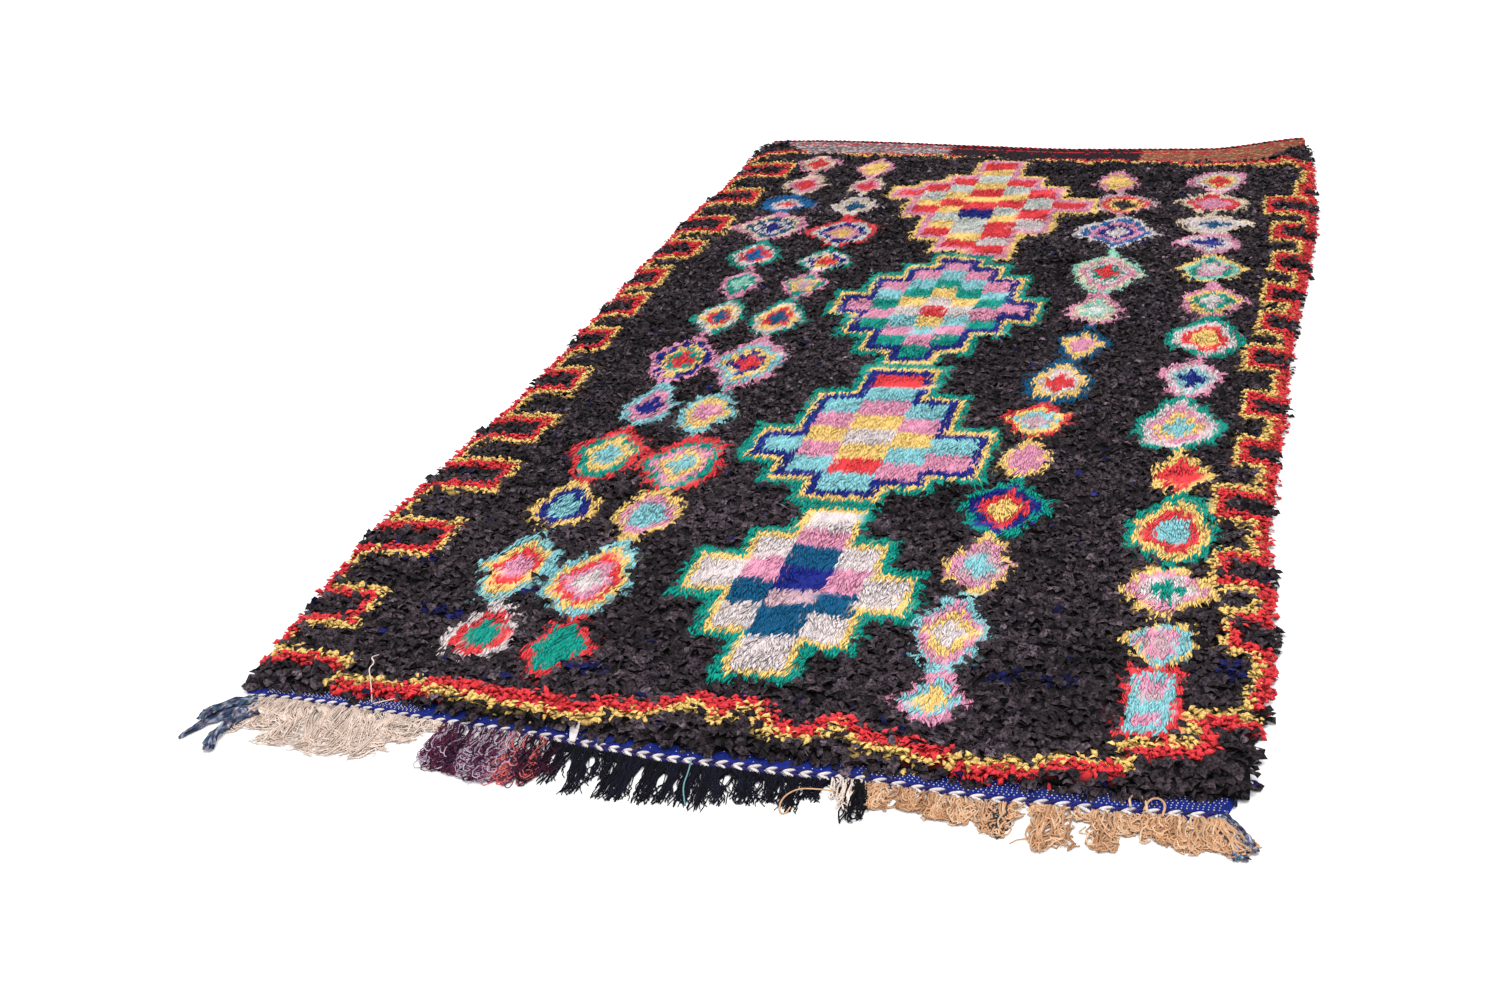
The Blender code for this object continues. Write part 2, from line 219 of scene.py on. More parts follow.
weave_points = []
for v in np.linspace(0, 1, WEAVE_ROWS):
    for u in np.linspace(0, 1, WEAVE_COLUMNS):
        y = -1.29 + 2.61 * v
        for _ in range(3):
            right = np.interp(y, stations_y, weave_right) - NEAR_CORNER_CUT * ramp(-y, 1.26, 1.28)
            x = np.interp(y, stations_y, weave_left) * (1 - u) + right * u
            y = near_edge(x) * (1 - v) + far_edge(x) * v
        weave_points.append((x, y, lift(x, y) + WEAVE_THICKNESS))
weave_bottom = [(x, y, z - WEAVE_THICKNESS) for x, y, z in weave_points]


def linear(red, green, blue):
    """A colour as a shader takes it, from 0 to 255 a channel."""
    return tuple(c / 3294.6 if c <= 10.3 else ((c / 255 + 0.055) / 1.055) ** 2.4 for c in (red, green, blue))


def dyed(colours):
    """The dyes that go by a name or a letter, as a shader takes them."""
    return {name: linear(*colour) for name, colour in colours.items()}


def fill_inputs(tree, node, given):
    """Gives each named or numbered input of a node a value or another node's output."""
    for key, value in given.items():
        if isinstance(value, bpy.types.NodeSocket):
            tree.links.new(value, node.inputs[key])
        else:
            node.inputs[key].default_value = value


def add_node(tree, kind, output=0, given=(), **settings):
    """A new node in a tree, with its settings and inputs. Returns the output that is asked for."""
    node = tree.nodes.new(kind)
    for name, value in settings.items():
        setattr(node, name, value)
    fill_inputs(tree, node, dict(given))
    return None if output is None else node.outputs[output]


def cloth_finish(
    name, sheen=0.06, grain=900.0, bump=0.35, root_painted_shade=0.35, mottle=0.30, comb=(1, 1, 1), crumple=0.0012,
    painted_crease_shading=0.0, softness=0.0,
):
    """Matte dyed fibre: the colour comes from each lock's dye, with shade painted in towards its root, and a
    fine fibre grain.

    comb stretches the grain along the way the fibres lie, crumple is how deep it is, the crease shading how
    much shade is painted into its hollows and light onto its crests, and softness how far the light spreads
    through the pile, from 0 to 1."""
    finish = bpy.data.materials.new(name)
    finish.use_nodes = True
    tree = finish.node_tree
    tip = add_node(tree, "ShaderNodeAttribute", "Fac", attribute_name="tip")
    dye = add_node(tree, "ShaderNodeAttribute", "Color", attribute_name="dye")
    place = add_node(tree, "ShaderNodeTexCoord", "Object")
    lie = add_node(tree, "ShaderNodeMapping", "Vector", {"Vector": place, "Scale": comb})
    fibre = add_node(tree, "ShaderNodeTexNoise", "Fac", {"Vector": lie, "Scale": grain, "Detail": 3.0})
    cloud = add_node(tree, "ShaderNodeTexNoise", "Fac", {"Vector": lie, "Scale": grain / 5, "Detail": 3.0})
    shade = None
    # The tip value paints shade towards each root: the root shade is how light a root stays, from 0 to 1.
    for value, low, high, least, most in (
        (tip, 0.0, 1.0, root_painted_shade, 1.0),
        (cloud, 0.3, 0.7, 1.0 - mottle, 1.0 + mottle),
        # The fibre grain paints shade in its hollows and light on its crests.
        (fibre, 0.36, 0.64, 1.0 - painted_crease_shading, 1.0 + 0.6 * painted_crease_shading),
    ):
        limits = {"Value": value, "From Min": low, "From Max": high, "To Min": least, "To Max": most}
        part = add_node(tree, "ShaderNodeMapRange", "Result", limits)
        if shade:
            part = add_node(tree, "ShaderNodeMath", "Value", {0: shade, 1: part}, operation="MULTIPLY")
        shade = part
    shaded = add_node(tree, "ShaderNodeVectorMath", "Vector", {0: dye, "Scale": shade}, operation="SCALE")
    facing = add_node(tree, "ShaderNodeNewGeometry", "Normal")
    levels = {0: facing, 1: (1 - softness, 1 - softness, 1 - softness), 2: (0, 0, softness)}
    levelled = add_node(tree, "ShaderNodeVectorMath", "Vector", levels, operation="MULTIPLY_ADD")
    relief = {"Strength": bump, "Distance": crumple, "Normal": levelled, "Height": fibre}
    fill_inputs(tree, tree.nodes["Principled BSDF"], {
        "Roughness": 0.92,
        "Sheen Weight": sheen,
        "Sheen Roughness": 0.5,
        "Specular IOR Level": 0.08,
        "Base Color": shaded,
        "Normal": add_node(tree, "ShaderNodeBump", "Normal", relief),
    })
    return finish


def note(mesh, name, kind, values):
    """Writes a number, a vector or a colour at each vertex."""
    column = mesh.attributes.new(name, kind, "POINT")
    field = {"FLOAT_VECTOR": "vector", "FLOAT_COLOR": "color"}.get(kind, "value")
    column.data.foreach_set(field, np.asarray(values, np.int32 if kind == "INT" else np.float32).ravel())


def set_dye(mesh, colours, tips=None):
    """Gives each vertex its dye and, unless its shape has them, how near its lock's tip it is, which sets its
    painted root shade.
    """
    flat = np.ones((len(mesh.vertices), 4), np.float32)
    flat[:, :3] = colours
    note(mesh, "dye", "FLOAT_COLOR", flat)
    if tips is not None:
        note(mesh, "tip", "FLOAT", np.broadcast_to(tips, len(mesh.vertices)))


BAND_DYES = dyed({
    "royal": (28, 46, 138), "white": (222, 212, 214), "indigo": (38, 34, 98), "grey": (126, 106, 112),
    "pale": (190, 172, 172), "dark": (44, 32, 40), "red": (190, 44, 52), "brown": (140, 92, 70),
    "tan": (178, 130, 98),
})


def far_band_dye(x):
    """The far band's ground colour: greys at the left, dark wool in the middle, browns at the right."""
    if x < -0.18:
        return "grey"
    return "dark" if x < 0.285 else "brown"


weave = new_piece(
    "ground_weave",
    weave_points + weave_bottom,
    sheet_faces(WEAVE_COLUMNS, WEAVE_ROWS, WEAVE_COLUMNS * WEAVE_ROWS),
    cloth_finish("flat woven cloth", grain=700.0, mottle=0.45),
)
set_dye(weave.data, [
    BAND_DYES["royal"] if p[1] < -1.1 else BAND_DYES[far_band_dye(p[0])] if p[1] > 1.1 else BAND_DYES["dark"]
    for p in weave_points + weave_bottom
], 1.0)
join_rug(weave, "foundation")


# The two bare bands are weft-faced: thick yarn is beaten down in rows, so that each pass shows as a bead.
# The near band is royal blue with rows of white flecks. The far one has zones of grey, dark and brown.
BEAD_LENGTH = 0.0062
BEAD_PITCH = 0.0050
BEAD_ROW = 0.0024
BEAD_WIDTH = 0.0030
BEAD_HEIGHT = 0.0013
FLECK = 0.0012
FLECK_SIZE = (0.40, 0.62, 1.15)
NEAR_BAND_ROWS = 13
FAR_BEAD_SCALE = 1.8
FAR_BAND_ROWS = 29
BAND_LEFT = -0.652
PALE_SHARE = 0.38
TAN_SHARE = 0.30


def start_tree(name, inputs):
    """A new Geometry Nodes tree with named inputs. Returns the tree and the sockets of those inputs."""
    group = bpy.data.node_groups.new(name, "GeometryNodeTree")
    for label, kind, value in (("Geometry", "Geometry", None), *inputs, ("Finish", "Material", None)):
        made = group.interface.new_socket(label, in_out="INPUT", socket_type="NodeSocket" + kind)
        if value is not None:
            made.default_value = value
    group.interface.new_socket("Geometry", in_out="OUTPUT", socket_type="NodeSocketGeometry")
    return group, group.nodes.new("NodeGroupInput").outputs


def end_tree(group, geometry, finish):
    """Makes a tree's instances real, gives them their finish and sends them out."""
    real = add_node(group, "GeometryNodeRealizeInstances", 0, {"Geometry": geometry})
    dressed = add_node(group, "GeometryNodeSetMaterial", 0, {"Geometry": real, "Material": finish})
    add_node(group, "NodeGroupOutput", None, {"Geometry": dressed})
    return group


def read_point(group, name, kind):
    """What each point of the carrier says under a name."""
    return add_node(group, "GeometryNodeInputNamedAttribute", "Attribute", {"Name": name}, data_type=kind)


def setting_tree():
    """Sets one of a collection's shapes at each point, turned, sized and dyed as the point says."""
    group, given = start_tree("set in rows", (
        ("Shapes", "Collection", None), ("Unevenness", "Float", 0.2), ("Seed", "Int", 1),
    ))
    shapes = add_node(group, "GeometryNodeCollectionInfo", 0, {
        "Collection": given["Shapes"], "Separate Children": True, "Reset Children": True,
    })
    angles = read_point(group, "turn", "FLOAT_VECTOR")
    turn = add_node(group, "FunctionNodeEulerToRotation", 0, {"Euler": angles})
    size = read_point(group, "size", "FLOAT_VECTOR")
    low = add_node(group, "ShaderNodeMath", 0, {0: 1.0, 1: given["Unevenness"]}, operation="SUBTRACT")
    high = add_node(group, "ShaderNodeMath", 0, {0: 1.0, 1: given["Unevenness"]}, operation="ADD")
    # The third and fourth inputs and the second output are those for a plain number.
    limits = {2: low, 3: high, "Seed": given["Seed"]}
    chance = add_node(group, "FunctionNodeRandomValue", 1, limits, data_type="FLOAT")
    uneven = add_node(group, "ShaderNodeVectorMath", 0, {0: size, "Scale": chance}, operation="SCALE")
    set_shapes = add_node(group, "GeometryNodeInstanceOnPoints", "Instances", {
        "Points": given["Geometry"], "Instance": shapes, "Pick Instance": True,
        "Instance Index": read_point(group, "pick", "INT"), "Rotation": turn, "Scale": uneven,
    })
    return end_tree(group, set_shapes, given["Finish"])


def grown(name, points, group, values):
    """The plain object that a node tree makes of a mesh of points or lines."""
    carrier = in_scene(name + "_carrier", points)
    modifier = carrier.modifiers.new("nodes", "NODES")
    modifier.node_group = group
    for item in group.interface.items_tree:
        if item.item_type == "SOCKET" and item.in_out == "INPUT" and item.name in values:
            modifier[item.identifier] = values[item.name]
    bpy.context.view_layer.update()
    evaluated = carrier.evaluated_get(bpy.context.evaluated_depsgraph_get())
    mesh = bpy.data.meshes.new_from_object(evaluated)
    mesh.name = name
    for spare in ("turn", "size", "pick", "thick"):
        if spare in mesh.attributes:
            mesh.attributes.remove(mesh.attributes[spare])
    bpy.data.objects.remove(carrier)
    return in_scene(name, mesh)


rows_tree = setting_tree()


def shape_collection(name, shapes, crest=None):
    """A collection of small meshes, each given as vertices, faces and the tip value of each vertex, which
    sets its painted shade.

    Faces round the crest vertex are its upper side, and the rim round them is a crisp edge."""
    collection = bpy.data.collections.new(name)
    for k, (vertices, faces, tips) in enumerate(shapes):
        mesh = bpy.data.meshes.new(f"{name}_{k:02d}")
        mesh.from_pydata([tuple(v) for v in vertices], [], faces)
        bm = bmesh.new()
        bm.from_mesh(mesh)
        bmesh.ops.recalc_face_normals(bm, faces=bm.faces)
        bm.verts.ensure_lookup_table()
        for edge in bm.edges:
            if crest is not None:
                edge.smooth = len({bm.verts[crest] in face.verts for face in edge.link_faces}) == 1
        bm.to_mesh(mesh)
        bm.free()
        note(mesh, "tip", "FLOAT", tips)
        collection.objects.link(bpy.data.objects.new(f"{name}_{k:02d}", mesh))
    return collection


def set_in_rows(name, shapes, finish, places, turns, sizes, dyes, picks, seed, unevenness=0.15):
    """One piece made of many small shapes: where each stands, how it is turned, its size and its dye."""
    mesh = bpy.data.meshes.new(name + "_seats")
    mesh.from_pydata([tuple(p) for p in places], [], [])
    note(mesh, "turn", "FLOAT_VECTOR", turns)
    note(mesh, "size", "FLOAT_VECTOR", sizes)
    note(mesh, "pick", "INT", picks)
    set_dye(mesh, dyes)
    values = {"Shapes": shapes, "Unevenness": unevenness, "Seed": seed, "Finish": finish}
    return grown(name, mesh, rows_tree, values)


def bead():
    """One pass of weft over a warp, seen from above: a long low roof."""
    length, width, height = BEAD_LENGTH / 2, BEAD_WIDTH / 2, BEAD_HEIGHT
    vertices = [(-length, 0, 0), (0, -width, 0), (length, 0, 0), (0, width, 0)]
    vertices += [(-length * 0.45, 0, height), (length * 0.45, 0, height)]
    faces = [(0, 3, 2, 1), (0, 1, 4), (1, 5, 4), (1, 2, 5), (2, 3, 5), (3, 4, 5), (3, 0, 4)]
    # The tip values paint shade on the bead's foot and leave its ridge fully lit.
    return vertices, faces, [0.3, 0.3, 0.3, 0.3, 1.0, 1.0]


beads = shape_collection("bead", [bead()])
# The root shade of this yarn finish is painted shade where the tip values are low.
yarn_finish = cloth_finish("twisted wool yarn", grain=1400.0, bump=0.30, root_painted_shade=0.30, mottle=0.20)
chance = random.Random(5)
for name, rows, scale, band_right, at_far_end in (
    ("near_band_wefts", NEAR_BAND_ROWS, 1.0, 0.648, False),
    ("far_band_wefts", FAR_BAND_ROWS, FAR_BEAD_SCALE, 0.656, True),
):
    places, turns, dyes, sizes = [], [], [], []
    for row in range(rows):
        inward = (row + 0.6) * BEAD_ROW * scale
        x = BAND_LEFT + 0.5 * (row % 2) * BEAD_PITCH * scale
        while x < band_right:
            edge = far_edge if at_far_end else near_edge
            y = edge(x) - inward if at_far_end else edge(x) + inward
            slope = edge(x + 0.01) - edge(x)
            places.append((x, y, lift(x, y) + WEAVE_THICKNESS - 0.0003))
            turns.append((0, 0, math.atan2(slope, 0.01) + chance.uniform(-0.08, 0.08)))
            if at_far_end:
                dye = far_band_dye(x + 0.006 * chance.uniform(-1, 1))
                if dye == "grey" and chance.random() < PALE_SHARE:
                    dye = "pale"
                if dye == "brown" and chance.random() < TAN_SHARE:
                    dye = "tan"
                if row in (3, 4) or (dye in ("brown", "tan") and row % 9 == 7) or chance.random() < 0.03:
                    dye = "red" if chance.random() < 0.7 else dye
            else:
                dye = "royal"
            shade = chance.uniform(0.75, 1.2)
            dyes.append([c * shade for c in BAND_DYES[dye]])
            length = BEAD_PITCH * scale
            sizes.append((scale, scale, scale))
            flecked = 0.95 if x > 0.20 or x < -0.42 else 0.10
            if not at_far_end and (row % 2 == 0 or x < -0.42) and chance.random() < flecked:
                length += FLECK
                places.append((x + length / 2, y + slope * length / 2 / 0.01, WEAVE_THICKNESS + 0.0002))
                turns.append(turns[-1])
                dyes.append([c * shade for c in BAND_DYES["white"]])
                sizes.append(FLECK_SIZE)
            x += length
    count = len(places)
    piece = set_in_rows(name, beads, yarn_finish, places, turns, sizes, dyes, [0] * count, 3)
    join_rug(piece, "foundation")


# The pattern of the pile, charted in millimetres: four files of small ringed lozenges, four large
# brick-work diamonds down the middle and a small one at the near right, and a toothed red and yellow border
# on a charcoal field.
PILE_DYES = dyed({
    "k": (60, 51, 57), "n": (22, 24, 76), "R": (232, 60, 67), "Y": (248, 206, 120), "C": (230, 208, 180),
    "P": (228, 150, 180), "p": (204, 168, 178), "W": (222, 208, 208),
    "G": (208, 212, 206), "L": (136, 202, 210), "A": (8, 104, 168), "T": (0, 150, 134), "K": (0, 84, 126),
    "B": (16, 32, 128), "M": (152, 212, 192),
})


def metres(table):
    """A table of millimetres in metres, with its words as they are."""
    if isinstance(table, tuple):
        return tuple(metres(part) for part in table)
    return table if isinstance(table, str) else table / 1000


LOZENGES = metres((
    # x, y, half width and half height in millimetres, and the yarns from its rim to its heart
    (-471, 1105, 55, 72, "PCR"), (-461, 944, 51, 77, "CPR"), (-469, 806, 68, 61, "AAWR"),
    (-461, 651, 83, 87, "PCKWB"), (-446, 465, 59, 81, "TWRA"), (-427, 296, 42, 78, "PTM"),
    (-417, 116, 51, 93, "TWYRK"), (-423, -101, 63, 115, "PBYTR"), (-414, -314, 49, 88, "LPB"),
    (-420, -514, 64, 108, "RTYL"), (-422, -704, 58, 82, "YBL"), (-424, -901, 59, 111, "LYRP"),
    (-397, -1095, 59, 84, "WRT"),
    (-323, 1083, 43, 83, "PYY"), (-309, 938, 47, 63, "CPR"), (-307, 797, 56, 63, "WCK"),
    (-290, 623, 82, 85, "RGBPY"), (-284, 448, 60, 72, "TWBYR"), (-293, 303, 48, 72, "PTYp"),
    (-297, 118, 57, 101, "TWYRK"), (-292, -105, 69, 117, "PLYBR"), (-302, -322, 51, 90, "LYP"),
    (-282, -532, 73, 119, "RTPYL"), (-278, -711, 60, 87, "YPL"), (-296, -927, 74, 117, "LYRPW"),
    (-271, -1113, 50, 84, "RTT"),
    (260, 997, 48, 77, "PYY"), (292, 847, 69, 75, "pRYk"), (297, 663, 84, 96, "WAPBW"),
    (305, 412, 74, 108, "MCPWTR"), (306, 222, 54, 83, "PCMG"), (304, 50, 51, 79, "KYP"),
    (288, -131, 62, 100, "KYWR"), (273, -294, 58, 71, "RYLp"), (279, -446, 43, 75, "YPP"),
    (271, -617, 69, 94, "TBRY"), (265, -796, 51, 90, "YPpL"), (258, -983, 58, 108, "LPYW"),
    (266, -1153, 50, 63, "PLY"),
    (484, 1018, 67, 79, "PWYR"), (481, 864, 81, 68, "CRP"), (489, 726, 84, 64, "CWWK"),
    (491, 607, 70, 67, "PWB"), (505, 454, 67, 81, "YMTPW"), (520, 280, 64, 81, "PYTW"),
    (520, 100, 73, 100, "TWRY"), (511, -86, 55, 85, "PWLB"), (506, -283, 76, 111, "TWPYL"),
    (524, -468, 48, 76, "YRR"), (529, -654, 76, 114, "TYRL"), (537, -824, 72, 68, "YPWT"),
    (542, -964, 53, 71, "YLPp"),
))
DIAMONDS = metres((
    # rings outwards from the bricks as yarn and width, then the files of bricks: left, right, top, brick
    # height and the bricks' yarns
    ((("P", 18), ("Y", 31)), (
        (-225, -170, 925, 45, "R"), (-170, -115, 960, 49, "RGYR"), (-115, -60, 1010, 49, "RGYRYGYR"),
        (-60, 13, 1130, 49, "RYGYRYRBGGYR"), (13, 75, 1000, 49, "RGYRGYRRWR"), (75, 135, 930, 66, "RGRW"),
        (135, 210, 845, 45, "R"),
    )),
    ((("B", 20), ("Y", 31), ("T", 48)), (
        (-181, -130, 235, 49, "P"), (-130, -78, 335, 49, "PLTPT"), (-78, -25, 400, 49, "PLTYWLPT"),
        (-25, 25, 452, 49, "PLTYWRYLPT"), (25, 75, 410, 49, "PLTYWLPT"), (75, 126, 345, 49, "PLTPT"),
        (126, 176, 225, 49, "P"),
    )),
    ((("B", 20), ("Y", 31), ("T", 48)), (
        (-164, -104, -400, 57, "L"), (-104, -38, -240, 57, "LPYPL"), (-38, 48, -130, 57, "RLPYWYRL"),
        (48, 115, -255, 57, "LPYLP"), (115, 190, -385, 57, "LP"),
    )),
    ((("Y", 13), ("T", 33)), (
        (-145, -78, -830, 85, "W"), (-78, -20, -755, 66, "WPKW"),
        (-20, 56, -660, 16.5, "WWWWPPPKKKKBBBBpppKKKKKWWWWW"), (56, 115, -775, 66, "WPKW"),
        (110, 175, -860, 80, "W"),
    )),
    ((("L", 14), ("R", 29)), ((525, 559, -1056, 28.5, "PpLP"),)),
))
TONGUES_RIGHT = metres((
    # y, how far in the yellow outline of the finger reaches
    (975, 645), (860, 585), (686, 607), (503, 615), (340, 607), (182, 607), (20, 592), (-186, 600),
    (-362, 600), (-552, 577), (-756, 592), (-920, 618),
))
TONGUES_LEFT = metres((
    (1052, -525), (852, -547), (656, -562), (490, -577), (318, -600), (158, -592), (-22, -592),
    (-219, -577), (-430, -562), (-615, -555), (-839, -562), (-1050, -592),
))
# For the left side and the right: half a finger's height, and how much narrower the lines are there.
TONGUE_HALF_HEIGHTS = (0.027, 0.025)
EDGE_SQUEEZES = (1.4, 1.3)
RED_WIDTH = 0.021
YELLOW_WIDTH = 0.014
TIP_SQUEEZE = 1.55
RING_SQUEEZE = 1.3
KNOT_STEP = 0.016
ROW_STEP = 0.024
HEART_SHARE = 0.80
NECK_SHIFT = 0.08
NECK_LENGTH = 0.30
NECK_HALF_WIDTH = 0.009
LOZENGE_POWER = 1.42
END_BORDERS = metres((
    # the red line's half width, below 0 where the yellow is on its right, and its turning points
    (10, ((-700, -1196), (-640, -1200), (-572, -1205))),
    (9, ((-549, -1244), (-468, -1246), (-404, -1246))),
    (-11, (
        (-410, -1223), (-362, -1227), (-303, -1238), (-247, -1242), (-173, -1251), (-160, -1234),
        (-92, -1235), (-62, -1208), (-36, -1195), (-7, -1213), (4, -1228), (16, -1202), (31, -1196),
        (53, -1205), (71, -1231),
    )),
    (-10, ((88, -1245), (130, -1243), (156, -1215), (176, -1224), (197, -1244))),
    (-9, ((204, -1254), (262, -1256), (272, -1267), (313, -1268))),
    (8, (
        (323, -1288), (353, -1294), (372, -1286), (409, -1289), (430, -1274), (464, -1264), (520, -1266),
    )),
    (10, (
        (530, -1226), (579, -1223), (609, -1220), (619, -1193), (616, -1166), (614, -1142), (641, -1134),
        (680, -1136),
    )),
    (-9, (
        (-680, 1155), (-645, 1172), (-600, 1205), (-525, 1235), (-450, 1228), (-375, 1205), (-315, 1214),
        (-240, 1205), (-172, 1192), (-115, 1235), (-90, 1220), (-30, 1220), (30, 1222), (75, 1178),
        (135, 1186), (173, 1144), (225, 1180), (300, 1160), (381, 1166), (420, 1140), (450, 1150),
        (525, 1143), (600, 1138), (617, 1165), (652, 1135), (674, 1110),
    )),
))
NAVY_RUNS = metres((
    (-585, -889), (-362, -964), (344, -1082), (422, -1081), (547, -736), (647, -1018), (285, -649),
    (-124, -927), (-212, -1149), (-468, -1045),
))

pile = solid_of("pile")
PILE_LEAST = 0.0085
row_ys = np.linspace(-1.295, 1.300, 131)
pile_lefts = np.array(rim_of(pile, row_ys, row_ys[0], row_ys[-1], -0.60, -0.80, True, PILE_LEAST))
pile_rights = np.array(rim_of(pile, row_ys, row_ys[0], row_ys[-1], 0.58, 0.80, True, PILE_LEAST))
good = (pile_lefts < -0.62) & (pile_rights > 0.60)


def left_side(y):
    return np.interp(y, row_ys[good], pile_lefts[good])


def right_side(y):
    return np.interp(y, row_ys[good], pile_rights[good])


def chart(x, y, wander):
    """The yarn at each place, as a letter, and 0 for the field, 1 for the border, 2 for a motif.

    wander is a small random length for each place, which frays the outlines."""
    yarn = np.full(len(x), "k")
    kind = np.zeros(len(x), int)

    def put(where, letter, what):
        yarn[where] = letter
        kind[where] = what

    side_line = np.minimum((x - left_side(y)) * EDGE_SQUEEZES[0], (right_side(y) - x) * EDGE_SQUEEZES[1])
    finger = np.full(len(x), 9.0)
    for side, half_height, tongues in zip((-1, 1), TONGUE_HALF_HEIGHTS, (TONGUES_LEFT, TONGUES_RIGHT)):
        for centre, reach in tongues:
            tip = reach + side * (RED_WIDTH + YELLOW_WIDTH) / TIP_SQUEEZE
            past_tip = side * (tip - x) * TIP_SQUEEZE
            finger = np.minimum(finger, np.maximum(past_tip, np.abs(y - centre) - half_height))
    beyond = np.minimum(side_line, finger) + wander
    along = (y < 1.12 + 0.03 * (x > 0)) & (y > np.where(x > 0, -1.10, -1.175))
    put(along & (beyond < RED_WIDTH + YELLOW_WIDTH), "Y", 1)
    put(along & (beyond < RED_WIDTH), "R", 1)
    put(along & (finger + wander < 0.001), "k", 0)
    for signed_half, points in END_BORDERS:
        half = abs(signed_half)
        nearest = np.full(len(x), 9.0)
        signed = np.zeros(len(x))
        for (ax, ay), (bx, by) in zip(points, points[1:]):
            dx, dy = bx - ax, by - ay
            share = np.clip(((x - ax) * dx + (y - ay) * dy) / (dx * dx + dy * dy), 0, 1)
            away = np.hypot(x - ax - share * dx, y - ay - share * dy)
            turn = np.sign(dx * (y - ay) - dy * (x - ax)) * np.sign(signed_half)
            closer = away < nearest
            signed = np.where(closer, away * turn, signed)
            nearest = np.minimum(nearest, away)
        width = YELLOW_WIDTH if half > 0.0095 else 0.012
        put((signed > 0) & (signed + wander < half + width), "Y", 1)
        put(nearest + wander < half, "R", 1)
    previous = None
    for cx, cy, half_width, half_height, yarns in LOZENGES:
        if previous and abs(previous[0] - cx) < NECK_SHIFT and previous[1] - cy < NECK_LENGTH:
            share = np.clip((previous[1] - y) / (previous[1] - cy), 0, 1)
            line = previous[0] * (1 - share) + cx * share
            neck = (np.abs(x - line) + wander < NECK_HALF_WIDTH) & (y < previous[1]) & (y > cy)
            put(neck, yarns[0], 2)
        previous = (cx, cy)
    for cx, cy, half_width, half_height, yarns in LOZENGES:
        angle = np.arctan2(y - cy, x - cx)
        step_x = 0.4 * (x - cx) + 0.6 * KNOT_STEP * np.round((x - cx) / KNOT_STEP)
        step_y = 0.4 * (y - cy) + 0.6 * ROW_STEP * np.round((y - cy) / ROW_STEP)
        phase = 40 * cx + 17 * cy
        wobble = 1 + 0.07 * np.sin(3 * angle + phase) + 0.05 * np.sin(5 * angle + 2 * phase)
        across = (np.abs(step_x) / half_width) ** LOZENGE_POWER
        upward = (np.abs(step_y) / half_height) ** LOZENGE_POWER
        radius = (across + upward) ** (1 / LOZENGE_POWER) / wobble + wander / half_width * 0.8
        ring = np.clip(((1 - radius) * (len(yarns) + HEART_SHARE)).astype(int), 0, len(yarns) - 1)
        inside = radius < 1
        put(inside, np.array(list(yarns))[ring][inside], 2)
    for rings, files in DIAMONDS:
        around = np.full(len(x), 9.0)
        for left, right, top, height, yarns in files:
            bottom = top - height * len(yarns)
            out = np.maximum(np.maximum(left - x, x - right) * RING_SQUEEZE, np.maximum(bottom - y, y - top))
            around = np.minimum(around, out)
        for letter, width in rings[::-1]:
            put(around + wander < width, letter, 2)
        for left, right, top, height, yarns in files:
            row = np.clip(((top - y) / height).astype(int), 0, len(yarns) - 1)
            inside = (x > left) & (x < right) & (y < top) & (y > top - height * len(yarns))
            put(inside, np.array(list(yarns))[row][inside], 2)
    return yarn, kind


# The pile is knots of torn rag and wool yarn, tied row by row into the weave and lying mostly towards the
# near end. The field is charcoal rags cut short, the border thicker rags and the motifs finer yarn.
RAG_ROW = 0.0074
RAG_PITCH = 0.0066
RAG_LENGTH = 0.0190
RAG_WIDTH = 0.0100
RAG_REACH = 0.007
BORDER_ROW = 0.0046
BORDER_PITCH = 0.0042
BORDER_REACH = 0.006
BORDER_RAISED = 0.0022
LOCK_ROW = 0.0140
LOCK_PITCH = 0.0018
LOCK_LENGTH = 0.0290
LOCK_WIDTH = 0.0038
LOCK_REACH = 0.014
LOCK_RAISED = 0.0034
TUFT_LENGTH = 0.0125
TUFT_WIDTH = 0.0064
ROOT_DEPTH = 0.0062
RIM_TRIM = 0.70
# How much larger the rags are at the near end, in the field and in the border.
NEAR_GROWTH = (1.30, 1.55)
FLOOR_GAP = 0.0006

rag_chance = random.Random(21)


def snip(length, width, thick, arch, ragged, blunt):
    """A cut rag or lock, its root at the origin, lying along X: a closed leaf with a ridge.

    ragged is how uneven its outline is, and blunt how wide its cut end is, from 0 for a pointed one."""
    waist = 0.58 * length
    lean = ragged * width * rag_chance.uniform(-0.5, 0.5)
    twist = ragged * width * rag_chance.uniform(-0.4, 0.4)
    crest = arch * length
    vertices = [(0, 0, 0)]
    for side in (-1, 0, 1):
        x = waist * (1 + ragged * rag_chance.uniform(-0.35, 0.35))
        y = lean + side * width / 2 * (1 + ragged * rag_chance.uniform(-0.3, 0.3))
        vertices.append((x, y, crest + side * twist + (thick if side == 0 else 0)))
    # The tip values paint shade: darkest at the root, lighter on the crest than at the sides, unshaded at the
    # cut end.
    if blunt:
        for side in (-1, 1):
            x = length * (1 + ragged * rag_chance.uniform(-0.25, 0.10))
            vertices.append((x, lean + side * width * blunt / 2, crest * 0.5 - side * twist))
        faces = [(0, 1, 2), (0, 2, 3), (0, 3, 1), (1, 4, 2), (2, 4, 5), (2, 5, 3), (1, 3, 5, 4)]
        return vertices, faces, (0.0, 0.6, 0.8, 0.6, 1.0, 1.0)
    vertices.append((length, lean * 1.5, crest * 0.4))
    faces = [(0, 1, 2), (0, 2, 3), (0, 3, 1), (1, 4, 2), (2, 4, 3), (3, 4, 1)]
    return vertices, faces, (0.0, 0.6, 0.75, 0.6, 1.0)


